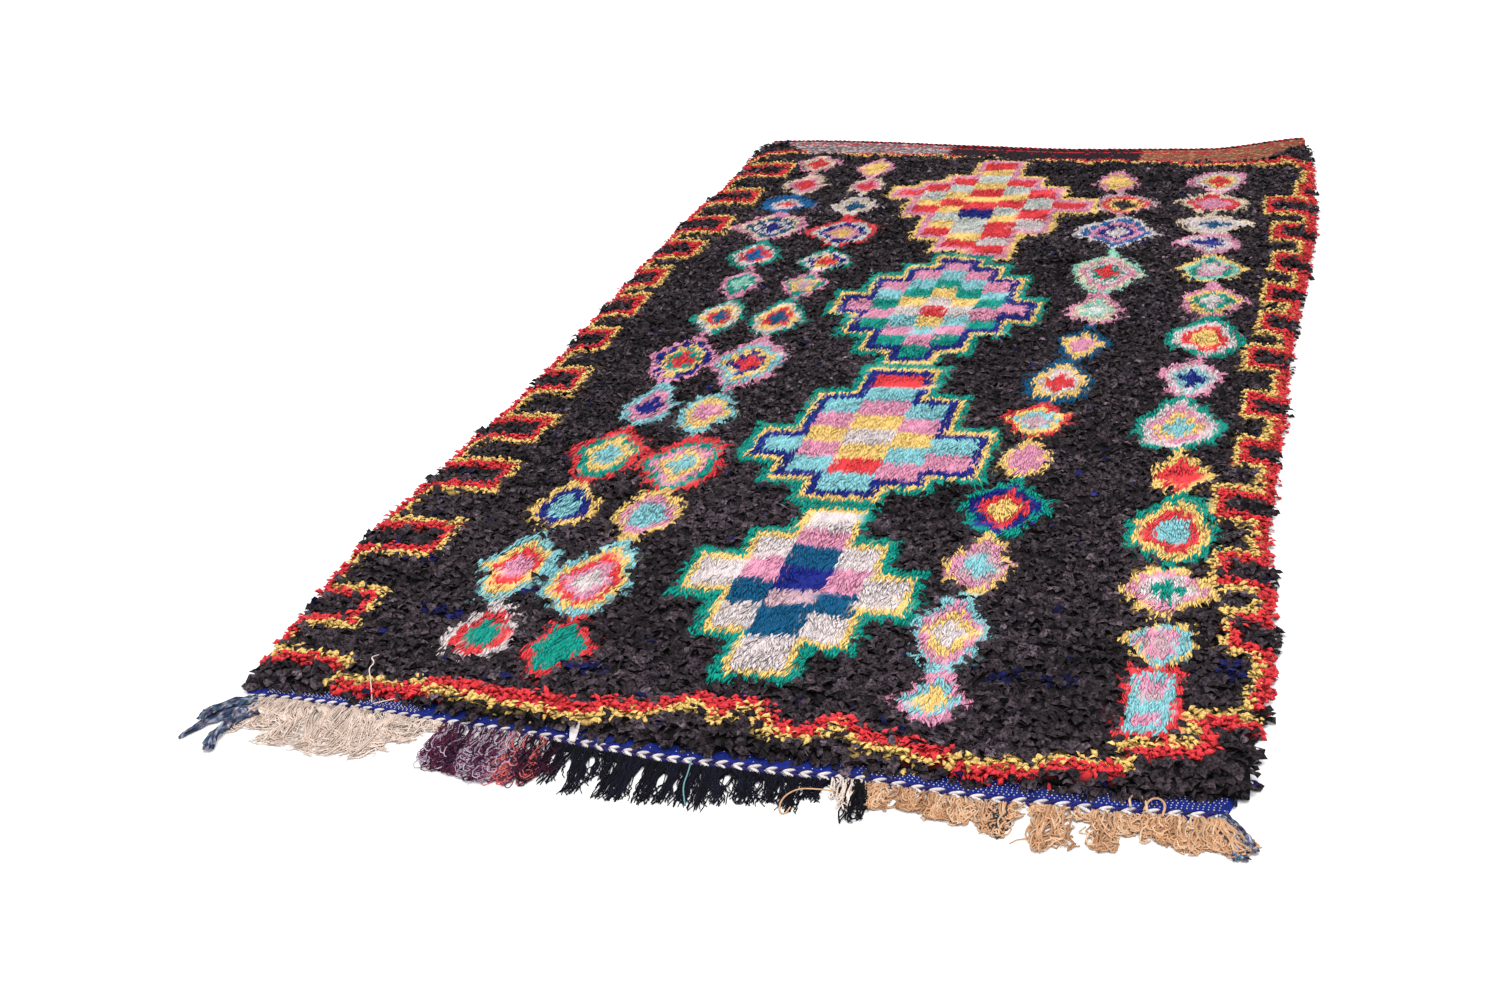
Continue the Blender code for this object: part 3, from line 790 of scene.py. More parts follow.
def snips(name, count, length, width, thick, arch, ragged, blunt=0, crest=None):
    """A set of rags or locks, no two alike."""
    shapes = [snip(length, width, thick, arch, ragged, blunt) for _ in range(count)]
    return shape_collection(name, shapes, crest)


# The third vertex of a rag is its crest.
rags = snips("rag", 16, RAG_LENGTH, RAG_WIDTH, 0.0026, 0.20, 0.80, 0.75, crest=2)
small_rags = snips("small_rag", 16, RAG_LENGTH, RAG_WIDTH, 0.0026, 0.20, 0.80, crest=2)
locks = snips("lock", 12, LOCK_LENGTH, LOCK_WIDTH, 0.0007, 0.05, 0.60)
border_tufts = snips("border_tuft", 12, TUFT_LENGTH, TUFT_WIDTH, 0.0020, 0.20, 0.60)

# In these finishes the root shade is painted shade at each root, and the crease shading paints shade in
# hollows and light on crests.
field_finish = cloth_finish(
    "charcoal cut rag", sheen=0.02, grain=240.0, bump=0.9, root_painted_shade=0.12, mottle=0.30, crumple=0.0040,
    painted_crease_shading=0.85, softness=0.42,
)
border_finish = cloth_finish(
    "red and yellow rag", grain=300.0, bump=0.9, root_painted_shade=0.78, mottle=0.12, crumple=0.0030,
    painted_crease_shading=0.40, softness=0.50,
)
motif_finish = cloth_finish(
    "dyed wool and cotton pile", grain=620.0, bump=0.9, root_painted_shade=0.96, mottle=0.12, comb=(1, 0.10, 0.5),
    crumple=0.0020, painted_crease_shading=0.25, softness=0.80,
)


def pile_tops(xs, ys):
    """The height of the pile's top at each place, or nan off the pile."""
    found = np.full(len(xs), np.nan)
    down = Vector((0, 0, -1))
    for k, (x, y) in enumerate(zip(xs, ys)):
        hit = pile.ray_cast(Vector((x, y, 1.0)), down)[0]
        if hit is not None and hit.z - lift(x, y) > PILE_LEAST:
            found[k] = hit.z
    return found


def knot_grid(row_pitch, pitch, seed, jitter=0.42):
    """Places in rows across the rug, a little uneven."""
    dice = np.random.default_rng(seed)
    xs = np.arange(-0.72, 0.71, pitch)
    ys = np.arange(-1.31, 1.32, row_pitch)
    x, y = np.meshgrid(xs, ys)
    x[1::2] += pitch / 2
    x = (x + dice.uniform(-jitter, jitter, x.shape) * pitch).ravel()
    y = (y + dice.uniform(-jitter, jitter, y.shape) * row_pitch).ravel()
    return x, y, dice


pile_near = rim_of(pile, stations_x, -0.66, 0.65, -1.2, -1.4, least=PILE_LEAST)
pile_far = rim_of(pile, stations_x, -0.63, 0.64, 1.1, 1.4, least=PILE_LEAST)


def seats(x, y, yaw, reach, fray, wanted, dice):
    """The places that lie on the pile and take their yarn, a reach away, from one kind of the chart."""
    yarn, kind = chart(x + reach * np.cos(yaw), y + reach * np.sin(yaw), dice.normal(0, fray, len(x)))
    chosen = kind == wanted
    x, y, yaw, yarn = (column[chosen] for column in (x, y, yaw, yarn))
    z = pile_tops(x, y)
    found = ~np.isnan(z)
    return tuple(column[found] for column in (x, y, z, yaw, yarn))


def outward_of(x, y):
    """How near the pile's rim a place is, and the direction out of the rug there."""
    left, right = x - left_side(y), right_side(y) - x
    near = y - np.interp(x, stations_x, pile_near)
    far = np.interp(x, stations_x, pile_far) - y
    out = np.minimum(np.minimum(left, right), np.minimum(near, far))
    heading = np.where(out == left, math.pi, 0.0)
    heading = np.where(out == near, -math.pi / 2, np.where(out == far, math.pi / 2, heading))
    return out, heading


def plant(x, y, z, dice, yaw, tumble, rim_width=0.014):
    """How each rag is turned and seated: as its yaw says, but outwards and down at the rim."""
    count = len(x)
    pitch = dice.uniform(-0.40, 0.20, count) * tumble
    out, heading = outward_of(x, y)
    rim = np.clip(1 - out / rim_width, 0, 1)
    at_rim = dice.random(count) < rim * 1.2
    yaw = np.where(at_rim, heading + dice.normal(0, 0.60, count), yaw)
    at_near = at_rim & (heading < -1)
    pitch = np.where(at_rim, dice.uniform(-0.05, 0.60, count), pitch)
    roll = dice.normal(0, 0.50, count) * tumble
    y = np.where(at_near, y + 0.003, y)
    return np.stack([x, y, z - ROOT_DEPTH - 0.0015 * at_rim], 1), np.stack([roll, pitch, yaw], 1), at_rim


def draws(dice, count, *limits):
    """A column of random numbers between each pair of limits."""
    return np.stack([dice.uniform(low, high, count) for low, high in limits], 1)


def dye_table(yarn):
    """The pile dye of each yarn letter."""
    return np.array([PILE_DYES[letter] for letter in yarn])


def settle(piece):
    """Lets whatever hangs below the floor, or the weave, lie on it."""
    mesh = piece.data
    co = np.empty(len(mesh.vertices) * 3, np.float32)
    mesh.vertices.foreach_get("co", co)
    co = co.reshape(-1, 3)
    co[:, 2] = np.maximum(co[:, 2], FLOOR_GAP + lift(co[:, 0], co[:, 1]))
    mesh.vertices.foreach_set("co", co.ravel())
    mesh.update()


# The motif locks are long slim wisps of wool and cotton, combed towards the near end. Neighbours lean the
# same way within a knot or two, and each stands in the pile's solid where the chart has a motif.
lock_x, lock_y, dice = knot_grid(LOCK_ROW, LOCK_PITCH, 8, 0.40)
lean = np.array([noise.noise(Vector((x * 42, y * 55, 1.0))) for x, y in zip(lock_x, lock_y)])
lock_yaw = -math.pi / 2 + 0.03 + 0.75 * lean + dice.normal(0, 0.13, len(lock_x))
lock_x, lock_y, lock_z, lock_yaw, lock_yarn = seats(lock_x, lock_y, lock_yaw, LOCK_REACH, 0.0018, 2, dice)
places, turns, _ = plant(lock_x, lock_y, lock_z + LOCK_RAISED, dice, lock_yaw, 0.20)
count = len(lock_x)
sizes = draws(dice, count, (0.75, 1.15), (0.75, 1.3), (0.7, 1.3))
dyes = dye_table(lock_yarn) * dice.uniform(0.89, 1.06, count)[:, None]
picks = dice.integers(0, 12, count)
in_middle = (lock_x >= -0.24) & (lock_x < 0.215)
pile_pieces = []
for name, part in (
    ("pile_motifs_left", (lock_x < 0) & ~in_middle),
    ("pile_diamonds", in_middle),
    ("pile_motifs_right", (lock_x > 0) & ~in_middle),
):
    pile_pieces.append(set_in_rows(
        name, locks, motif_finish, places[part], turns[part], sizes[part], dyes[part], picks[part], 6
    ))


# The field rags are short wide scraps of charcoal cloth, one at each place and turned any way. The border's
# tufts of red and yellow rag are shorter and closer set, and stand a little higher.
def lay_rags(row_pitch, pitch, seed, reach, wanted, raised):
    """Seats for the rags of one kind of the chart: place, turn, yarn and dice."""
    x, y, dice = knot_grid(row_pitch, pitch, seed)
    yaw = -math.pi / 2 + dice.normal(0, 1.15, len(x))
    x, y, z, yaw, yarn = seats(x, y, yaw, reach, 0.0014, wanted, dice)
    places, turns, at_rim = plant(x, y, z + dice.normal(0, 0.0011, len(x)) + raised, dice, yaw, 1.0)
    sizes = draws(dice, len(x), (0.75, 1.2), (0.7, 1.2), (0.6, 1.4))
    sizes[:, :2] *= np.interp(y, (-1.25, -0.35), (NEAR_GROWTH[wanted], 1.0))[:, None]
    sizes[at_rim & (np.abs(x) > 0.55), 0] *= RIM_TRIM
    return x, y, yarn, places, turns, sizes, dice


rag_x, rag_y, rag_yarn, places, turns, sizes, dice = lay_rags(RAG_ROW, RAG_PITCH, 14, RAG_REACH, 0, 0.0)
count = len(rag_x)
streak = np.array([
    noise.noise(Vector((x * 7, y * 52, 3.0))) + 0.6 * noise.noise(Vector((x * 3, y * 6, 8.0)))
    for x, y in zip(rag_x, rag_y)
])
spread = np.interp(rag_y, (-1.2, 1.2), (0.42, 0.62))
shades = np.clip(1 + 0.90 * streak, 0.30, 2.0) * np.exp(spread * dice.normal(0, 1, count))
for navy_x, navy_y in NAVY_RUNS:
    rag_yarn[np.hypot((rag_x - navy_x) / 0.034, (rag_y - navy_y) / 0.011) < 1] = "n"
rag_yarn[dice.random(count) < 0.010] = "n"
dyes = dye_table(rag_yarn) * shades[:, None]
picks = dice.integers(0, 12, count)
for label, low, high in (("near", -1.40, -0.62), ("middle", -0.62, 0.18), ("far", 0.18, 1.40)):
    part = (rag_y >= low) & (rag_y < high)
    pile_pieces.append(set_in_rows(
        "pile_field_" + label, rags if label == "near" else small_rags, field_finish,
        places[part], turns[part], sizes[part], dyes[part], picks[part], 7,
    ))
rag_x, rag_y, rag_yarn, places, turns, sizes, dice = lay_rags(
    BORDER_ROW, BORDER_PITCH, 15, BORDER_REACH, 1, BORDER_RAISED
)
dyes = dye_table(rag_yarn) * dice.uniform(0.85, 1.09, len(rag_x))[:, None]
picks = dice.integers(0, 12, len(rag_x))
pile_pieces.append(set_in_rows(
    "pile_border", border_tufts, border_finish, places, turns, sizes, dyes, picks, 9
))
for piece in pile_pieces:
    settle(piece)


# Under the rags the knots themselves pack into a soft bed that shows in the gaps. It takes the same dyes with
# painted shade over them, nearly black under the charcoal and navy. It is one closed sheet, from the weave up
# to a little below the pile's top.
BED_COLUMNS = 72
BED_ROWS = 134
BED_INSET = 0.003
# How far the bed lies below the pile's top in the field, in the border and in the motifs.
BED_DROPS = (0.0045, 0.0034, 0.0022)
bed_xy = []
for v in np.linspace(0, 1, BED_ROWS):
    y_row = -1.292 + 2.590 * v
    for u in np.linspace(0, 1, BED_COLUMNS):
        x = left_side(y_row) * (1 - u) + right_side(y_row) * u
        lowest = np.interp(x, stations_x, pile_near) + BED_INSET
        highest = np.interp(x, stations_x, pile_far) - BED_INSET
        bed_xy.append((x, np.clip(y_row, lowest, highest)))
bed_xy = np.array(bed_xy)
bed_z = pile_tops(bed_xy[:, 0], bed_xy[:, 1])
low = lift(bed_xy[:, 0], bed_xy[:, 1]) + WEAVE_THICKNESS + 0.0004
bed_yarn, bed_kind = chart(bed_xy[:, 0], bed_xy[:, 1], np.zeros(len(bed_xy)))
bed_top = np.where(np.isnan(bed_z), low, np.maximum(bed_z - np.array(BED_DROPS)[bed_kind], low))
upper = [(x, y, z + 0.0004) for (x, y), z in zip(bed_xy, bed_top)]
lower = [(x, y, z - 0.0003) for (x, y), z in zip(bed_xy, low)]
bed_faces = sheet_faces(BED_COLUMNS, BED_ROWS, BED_COLUMNS * BED_ROWS)
bed = new_piece("pile_bed", upper + lower, bed_faces, motif_finish)
# Painted shade: the bed keeps 0.12 of the charcoal and navy dyes and 0.92 of the others.
bed_painted_shade = np.where(np.isin(bed_yarn, ["k", "n"]), 0.12, 0.92)[:, None]
set_dye(bed.data, np.tile(dye_table(bed_yarn) * bed_painted_shade, (2, 1)), 1.0)
pile_pieces.append(bed)
for piece in pile_pieces:
    join_rug(piece, "pile")


# The near end is closed by two rows of twined yarn, white and royal blue by turns, whose stitches lean
# together into a chain of little arrows.
TWINE_LEFT = -0.664
TWINE_RIGHT = 0.650
TWINE_WIDTH = 0.017
TWINE_PITCHES = ((-0.66, 0.0180), (-0.20, 0.0200), (0.10, 0.0225), (0.30, 0.0250), (0.66, 0.0270))
STITCH_LENGTH = 0.0180
STITCH_WIDTH = 0.0064
STITCH_HEIGHT = 0.0046
STITCH_SLANTS = ((1, 0.42), (-1, -0.58))


def leaf_stitch():
    """One stitch of the chain: a plump leaf along X."""
    vertices, tips, faces = [], [], []
    rings, sides = 5, 6
    for k in range(1, rings + 1):
        share = k / (rings + 1)
        fat = math.sin(math.pi * share) ** 0.6
        for n in range(sides):
            angle = 2 * math.pi * n / sides
            y = STITCH_WIDTH / 2 * fat * math.cos(angle)
            z = STITCH_HEIGHT * (0.42 + 0.55 * fat * math.sin(angle) * (1 if math.sin(angle) > 0 else 0.6))
            vertices.append(((share - 0.5) * STITCH_LENGTH, y, z))
            # The tip values paint shade on the stitch's underside and ends, and keep its top fully lit.
            tips.append(0.35 + 0.65 * max(math.sin(angle), 0.0))
    start, end = len(vertices), len(vertices) + 1
    vertices += [(-STITCH_LENGTH / 2, 0, STITCH_HEIGHT * 0.35), (STITCH_LENGTH / 2, 0, STITCH_HEIGHT * 0.35)]
    tips += [0.3, 0.3]
    for k in range(rings - 1):
        for n in range(sides):
            a, b = k * sides + n, k * sides + (n + 1) % sides
            faces.append((a, b, b + sides, a + sides))
    for n in range(sides):
        m = (n + 1) % sides
        last = (rings - 1) * sides
        faces.append((start, m, n))
        faces.append((end, last + n, last + m))
    return vertices, faces, tips


leaves = shape_collection("leaf_stitch", [leaf_stitch()])
chance = random.Random(31)
places, turns, sizes, dyes = [], [], [], []
start = TWINE_LEFT + 0.002
while start < TWINE_RIGHT - 0.018:
    pitch = float(np.interp(start, *zip(*TWINE_PITCHES)))
    for dye, along, length in (("white", 0.34, 1.0), ("indigo", 0.84, 0.94)):
        for side, slant in STITCH_SLANTS:
            x = start + pitch * along + (0.0 if side > 0 else 0.08 * pitch)
            slope = math.atan2(near_edge(x + 0.01) - near_edge(x - 0.01), 0.02)
            places.append((x, near_edge(x) - 0.0003 - TWINE_WIDTH * (0.5 - 0.24 * side), 0.0001))
            turns.append((0, 0, slope + slant + chance.uniform(-0.07, 0.07)))
            fat = chance.uniform(0.90, 1.10)
            sizes.append((length * fat * pitch / 0.0205, fat, 1.0 if dye == "white" else 0.86))
            shade = chance.uniform(0.80, 1.05)
            dyes.append([c * shade for c in BAND_DYES[dye]])
    start += pitch
picks = [0] * len(places)
chain = set_in_rows("twined_chain", leaves, yarn_finish, places, turns, sizes, dyes, picks, 4, 0.05)
join_rug(chain, "twined_edge")


# The far edge is finished with a thick cord of two plied wool yarns, one red and one near black. Each ply
# winds round a line along the weave's far edge, half a turn behind the other.
CORD_RADIUS = 0.0042
CORD_LEFT = -0.652
CORD_RIGHT = 0.654
CORD_TURN_LENGTH = 0.024
PLY_RADIUS = 0.0025


def yarn_tree():
    """Gives each line of points a round yarn, as thick as the points say."""
    group, given = start_tree("spin yarn", (("Sides", "Int", 4),))
    line = add_node(group, "GeometryNodeMeshToCurve", 0, {"Mesh": given["Geometry"]})
    radius = read_point(group, "thick", "FLOAT")
    sized = add_node(group, "GeometryNodeSetCurveRadius", 0, {"Curve": line, "Radius": radius})
    round_shape = {"Resolution": given["Sides"], "Radius": 1.0}
    ring = add_node(group, "GeometryNodeCurvePrimitiveCircle", "Curve", round_shape)
    tube = add_node(group, "GeometryNodeCurveToMesh", 0, {
        "Curve": sized, "Profile Curve": ring, "Fill Caps": True, "Scale": radius,
    })
    return end_tree(group, tube, given["Finish"])


spinning = yarn_tree()
# The root shade of the fringe finish is painted shade at each yarn's root.
fringe_finish = cloth_finish(
    "loose wool and cotton yarn", sheen=0.02, grain=1100.0, bump=0.6, root_painted_shade=0.75, mottle=0.15,
    painted_crease_shading=0.20, softness=0.45,
)


def spin(name, yarns, sides, finish):
    """One piece of many yarns. A yarn is its points, its radius at each and its dye."""
    points, edges, thick, dyes, tips = [], [], [], [], []
    for route, radii, dye in yarns:
        start = len(points)
        points += [tuple(p) for p in route]
        edges += [(start + k, start + k + 1) for k in range(len(route) - 1)]
        thick += [float(r) for r in radii]
        dyes += [dye] * len(route) if np.ndim(dye) == 1 else [tuple(d) for d in dye]
        # Each yarn's first four points get lower tip values, which paint shade at its root.
        tips += [0.55 + 0.45 * min(k / 4, 1) for k in range(len(route))]
    mesh = bpy.data.meshes.new(name + "_lines")
    mesh.from_pydata(points, edges, [])
    note(mesh, "thick", "FLOAT", thick)
    set_dye(mesh, np.asarray(dyes, np.float32), tips)
    piece = grown(name, mesh, spinning, {"Sides": sides, "Finish": finish})
    if "sharp_edge" in piece.data.attributes:
        piece.data.attributes.remove(piece.data.attributes["sharp_edge"])
    return piece


plies = []
steps = 640
for strand, dye in enumerate((linear(186, 36, 44), linear(40, 28, 36))):
    route, radii, shades = [], [], []
    for k in range(steps + 1):
        x = CORD_LEFT + (CORD_RIGHT - CORD_LEFT) * k / steps
        angle = 2 * math.pi * (x - CORD_LEFT) / CORD_TURN_LENGTH + math.pi * strand
        off = CORD_RADIUS - PLY_RADIUS
        y = far_edge(x) + 0.0003 + CORD_RADIUS + off * math.cos(angle)
        route.append((x, y, lift(x, y) + CORD_RADIUS + off * math.sin(angle)))
        radii.append(PLY_RADIUS * (1 + 0.12 * math.sin(91 * x + strand)))
        shades.append([c * (0.85 + 0.3 * noise.noise(Vector((x * 60, strand, 0)))) for c in dye])
    plies.append((route, radii, shades))
cord = spin("far_edge_cord", plies, 6, yarn_finish)
join_rug(cord, "far_cord")


# The fringe is the warp's own yarn and knotted-on ends, one kind after another along the near end: curly
# cream cotton, looped plum and lilac wool, bunches of fine navy wool, a cream and black knot, fuzzy tan wool.
FRINGE_DYES = dyed({
    "c": (230, 207, 192), "e": (214, 190, 175), "f": (238, 220, 208), "w": (98, 40, 70), "d": (50, 28, 50),
    "l": (178, 160, 178), "s": (206, 100, 98), "m": (66, 26, 44), "n": (14, 13, 25), "k": (9, 9, 15),
    "b": (24, 24, 42), "t": (204, 158, 122), "u": (176, 130, 96), "v": (218, 182, 150), "g": (60, 54, 50),
    "a": (112, 160, 162),
})
THREADS = (
    # piece, dye, radius in metres, and its course in millimetres, over the floor or what lies there
    ("navy_fringe", "a", 0.0012, (
        (-9, -1322, 9), (-4, -1350, 9), (-2, -1380, 8), (10, -1408, 2),
    )),
    ("knot_fringe", "t", 0.0012, (
        (190, -1352, 6), (160, -1352, 6), (138, -1356, 6), (125, -1378, 6), (127, -1400, 2),
        (136, -1404, 2), (140, -1392, 5),
    )),
    ("cream_fringe", "f", 0.0010, (
        (-504, -1202, 40), (-512, -1212, 41), (-500, -1222, 40), (-503, -1236, 39), (-494, -1250, 36),
        (-490, -1262, 12), (-487, -1270, 7),
    )),
    ("cream_fringe", "c", 0.0010, (
        (-485, -1272, 6), (-468, -1262, 7), (-450, -1254, 8), (-434, -1249, 12),
    )),
    ("tan_fringe", "v", 0.0016, (
        (540, -1322, 8), (536, -1304, 9), (545, -1297, 9), (556, -1306, 9), (560, -1330, 8),
    )),
    ("tan_fringe", "t", 0.0016, (
        (556, -1326, 8), (560, -1304, 9), (572, -1300, 9), (580, -1312, 9), (578, -1334, 8),
    )),
)


def loose_yarn(root, tip, radius, points, sway, curl, turns, rise, dice, above, loops, way, order):
    """A yarn lying on the floor from its root to its tip, and back again where it loops, curling as it goes.

    way is where its waves start, and order how far they keep time with its neighbours'."""
    shares = np.linspace(0, 1, points)
    gone = np.sin(math.pi * np.linspace(0, 0.92, points)) ** 0.8 if loops else shares
    phases = way + (1 - order) * dice.uniform(0, 2 * math.pi, 5) + order * dice.normal(0, 0.25, 5)
    speeds = 4.0 + (1 - order) * dice.uniform(-2.0, 3.0, 2)
    wave = np.sin(speeds[0] * shares * 3 + phases[0]) + 0.6 * np.sin(speeds[1] * shares * 6 + phases[1])
    wave = (wave - wave[0]) * shares ** 0.7 * sway
    angle = phases[4] + 2 * math.pi * turns * dice.uniform(0.6, 1.3) * shares
    fade = curl * np.sin(math.pi * np.clip(shares * 0.9, 0, 1)) ** 0.5
    x = root[0] + (tip[0] - root[0]) * gone + wave + fade * np.cos(angle)
    y = root[1] + (tip[1] - root[1]) * gone + 0.4 * wave + fade * np.sin(angle)
    humps = np.abs(np.sin(shares * speeds[0] * 2 + phases[3]))
    z = radius * 1.05 + rise * humps * np.clip(1.2 - shares, 0, 1)
    return np.stack([x, y, z + above * (1 - shares) ** 3], 1), radius * (1 - 0.3 * shares)


def part_round(route, holes):
    """Parts a yarn round each hole in the fringe."""
    for x, y, half_width, half_height in holes:
        across = (route[:, 0] - x) / half_width
        along = (route[:, 1] - y) / half_height
        near = np.maximum(np.hypot(across, along), 1e-6)
        out = np.where(near < 1, 1 / near, 1.0)
        route[:, 0] = x + across * out * half_width
        route[:, 1] = y + along * out * half_height
    return route


def rounded(points):
    """A course with its corners cut twice."""
    for _ in range(2):
        cut = [points[0]]
        for one, two in zip(points, points[1:]):
            cut += [0.75 * one + 0.25 * two, 0.25 * one + 0.75 * two]
        points = [*cut, points[-1]]
    return np.array(points)


FRINGE_END = -1.4215
HEADING_YARNS = 7
HEADING_POINTS = 70
HEADING_DROP = 0.0185
HEADING_RADIUS = 0.0013


def lay_fringe(
    name, node, radius, points, sides, sway, curl, turns, rise, start, above, spread, looped, order,
    shading, holes, bunches,
):
    """Lays one kind of fringe along the near edge.

    Its yarns have a radius, points and sides. They sway, curl in so many turns and rise off the floor. They
    start so far below the edge and above the floor, and their tips spread. looped is the share that comes
    back, order how alike neighbours lie, and shading how their shades differ. Then come, in millimetres, the
    holes, and the bunches: left and right at the root, left and right at the tip, the tip, yarns and dyes."""
    dice = np.random.default_rng(len(name) * 7 + len(bunches))
    yarns = []
    for *reaches, count, dye_set in bunches:
        root_left, root_right, tip_left, tip_right, tip_y = metres(tuple(reaches))
        for k in range(count):
            share = dice.uniform(0, 1)
            root_x = root_left + (root_right - root_left) * share
            root = (root_x, float(near_edge(root_x)) - start + dice.uniform(-0.002, 0.001))
            tip = (tip_left + (tip_right - tip_left) * share + dice.normal(0, spread), 0)
            tip = (tip[0], root[1] + (tip_y - root[1]) * (1 - abs(dice.normal(0, 0.20))))
            loops = dice.random() < looped
            shared_way = 9 * noise.noise(Vector((root_x * 14, 0.4, len(name))))
            way = order * shared_way + (1 - order) * dice.uniform(-3, 3)
            route, radii = loose_yarn(
                root, tip, radius, points, sway, curl, turns, rise, dice, above, loops, way, order
            )
            gather = 1 - 0.30 * np.sin(math.pi * np.linspace(0, 1, points))
            centre = np.linspace(root_left + root_right, tip_left + tip_right, points) / 2
            route[:, 0] = centre + (route[:, 0] - centre) * gather
            route[:, 1] = np.clip(part_round(route, metres(holes))[:, 1], FRINGE_END, root[1])
            dye = np.array(FRINGE_DYES[dye_set[int(dice.integers(0, len(dye_set)))]])
            yarns.append((route, radii, tuple(dye * dice.uniform(1 - 1.6 * shading, 1 + shading))))
    for k in range(HEADING_YARNS if name == "navy_fringe" else 0):
        xs = np.linspace(bunches[0][0] / 1000, bunches[-1][1] / 1000, HEADING_POINTS)
        drop = HEADING_DROP + 0.0016 * k + 0.0022 * np.sin(xs * dice.uniform(90, 260) + dice.uniform(0, 6))
        heights = np.full(HEADING_POINTS, 0.0016 + 0.0005 * (k % 3))
        route = np.stack([xs, near_edge(xs) - drop, heights], 1)
        yarns.append((route, np.full(HEADING_POINTS, HEADING_RADIUS), FRINGE_DYES["k"]))
    for owner, dye, thickness, course in THREADS:
        if owner == name:
            route = rounded([np.array(place) / 1000 for place in course])
            yarns.append((route, np.full(len(route), thickness), FRINGE_DYES[dye]))
    piece = spin(name, yarns, sides, fringe_finish)
    join_rug(piece, node)


lay_fringe(
    "cream_fringe", "fringe_cream", radius=0.00110, points=15, sides=3, sway=0.0105,
    curl=0.0050, turns=1.6, rise=0.0050, start=0.0145, above=0.0010, spread=0.006, looped=0.25, order=0.90,
    shading=0.07,
    holes=((-420, -1318, 25, 13),),
    bunches=(
        (-656, -636, -655, -640, -1366, 18, "cef"), (-642, -600, -628, -592, -1352, 54, "ccef"),
        (-602, -560, -590, -556, -1383, 64, "ccef"), (-562, -520, -552, -512, -1388, 64, "ccef"),
        (-522, -480, -514, -476, -1392, 64, "ccef"), (-486, -448, -478, -444, -1391, 54, "ccef"),
        (-452, -424, -444, -418, -1374, 40, "ccef"), (-430, -396, -420, -388, -1344, 40, "ccef"),
        (-400, -372, -384, -362, -1312, 34, "ccef"),
    ),
)
lay_fringe(
    "plum_fringe", "fringe_plum", radius=0.00100, points=34, sides=3, sway=0.0050, curl=0.0100,
    turns=6.0, rise=0.0060, start=0.0160, above=0.0015, spread=0.008, looped=1.0, order=0.0, shading=0.18,
    holes=((-318, -1345, 10, 9), (-276, -1372, 8, 9)),
    bunches=(
        (-368, -346, -366, -344, -1376, 14, "wwdl"), (-352, -320, -350, -316, -1394, 22, "wwdlm"),
        (-324, -288, -318, -284, -1400, 24, "wwdll"), (-292, -258, -284, -252, -1407, 24, "wdllw"),
        (-264, -234, -254, -226, -1408, 20, "sswlm"), (-238, -204, -226, -190, -1402, 22, "mdmns"),
    ),
)
lay_fringe(
    "navy_fringe", "fringe_navy", radius=0.00110, points=11, sides=3, sway=0.0030, curl=0.0,
    turns=0.0, rise=0.0035, start=0.0178, above=0.0004, spread=0.004, looped=0.0, order=0.3, shading=0.18,
    holes=(
        (-180, -1332, 8, 10), (-139, -1343, 7, 13), (-107, -1352, 6, 18), (-81, -1346, 4, 6),
        (-35, -1362, 7, 14), (-13, -1349, 4, 7), (44, -1350, 9, 14), (87, -1355, 7, 10),
        (110, -1366, 4, 10),
    ),
    bunches=(
        (-206, -186, -212, -196, -1392, 22, "nkm"), (-192, -166, -190, -172, -1402, 22, "nkb"),
        (-178, -142, -152, -132, -1416, 42, "nkb"), (-156, -112, -128, -110, -1386, 24, "nkb"),
        (-122, -64, -110, -68, -1417, 84, "nkb"), (-72, -36, -57, -40, -1418, 46, "nkb"),
        (-42, -10, -32, -10, -1413, 40, "nkb"), (-22, 6, -8, 10, -1414, 36, "nkb"),
        (-2, 24, 18, 32, -1419, 34, "nkb"), (10, 50, 36, 58, -1402, 42, "nkb"),
        (44, 92, 66, 94, -1396, 54, "nkb"), (84, 118, 98, 118, -1388, 32, "nkb"),
        (104, 148, 122, 148, -1400, 42, "nkb"), (136, 176, 140, 168, -1374, 38, "nkb"),
    ),
)
lay_fringe(
    "knot_fringe", "fringe_knot", radius=0.00120, points=14, sides=4, sway=0.0035, curl=0.0040,
    turns=1.4, rise=0.0060, start=0.0172, above=0.0010, spread=0.003, looped=0.6, order=0.0, shading=0.12,
    holes=(),
    bunches=(
        (184, 212, 190, 214, -1384, 16, "ffc"), (176, 200, 182, 200, -1362, 8, "nfc"),
        (204, 222, 208, 236, -1400, 14, "nk"), (196, 214, 202, 216, -1412, 8, "nk"),
    ),
)
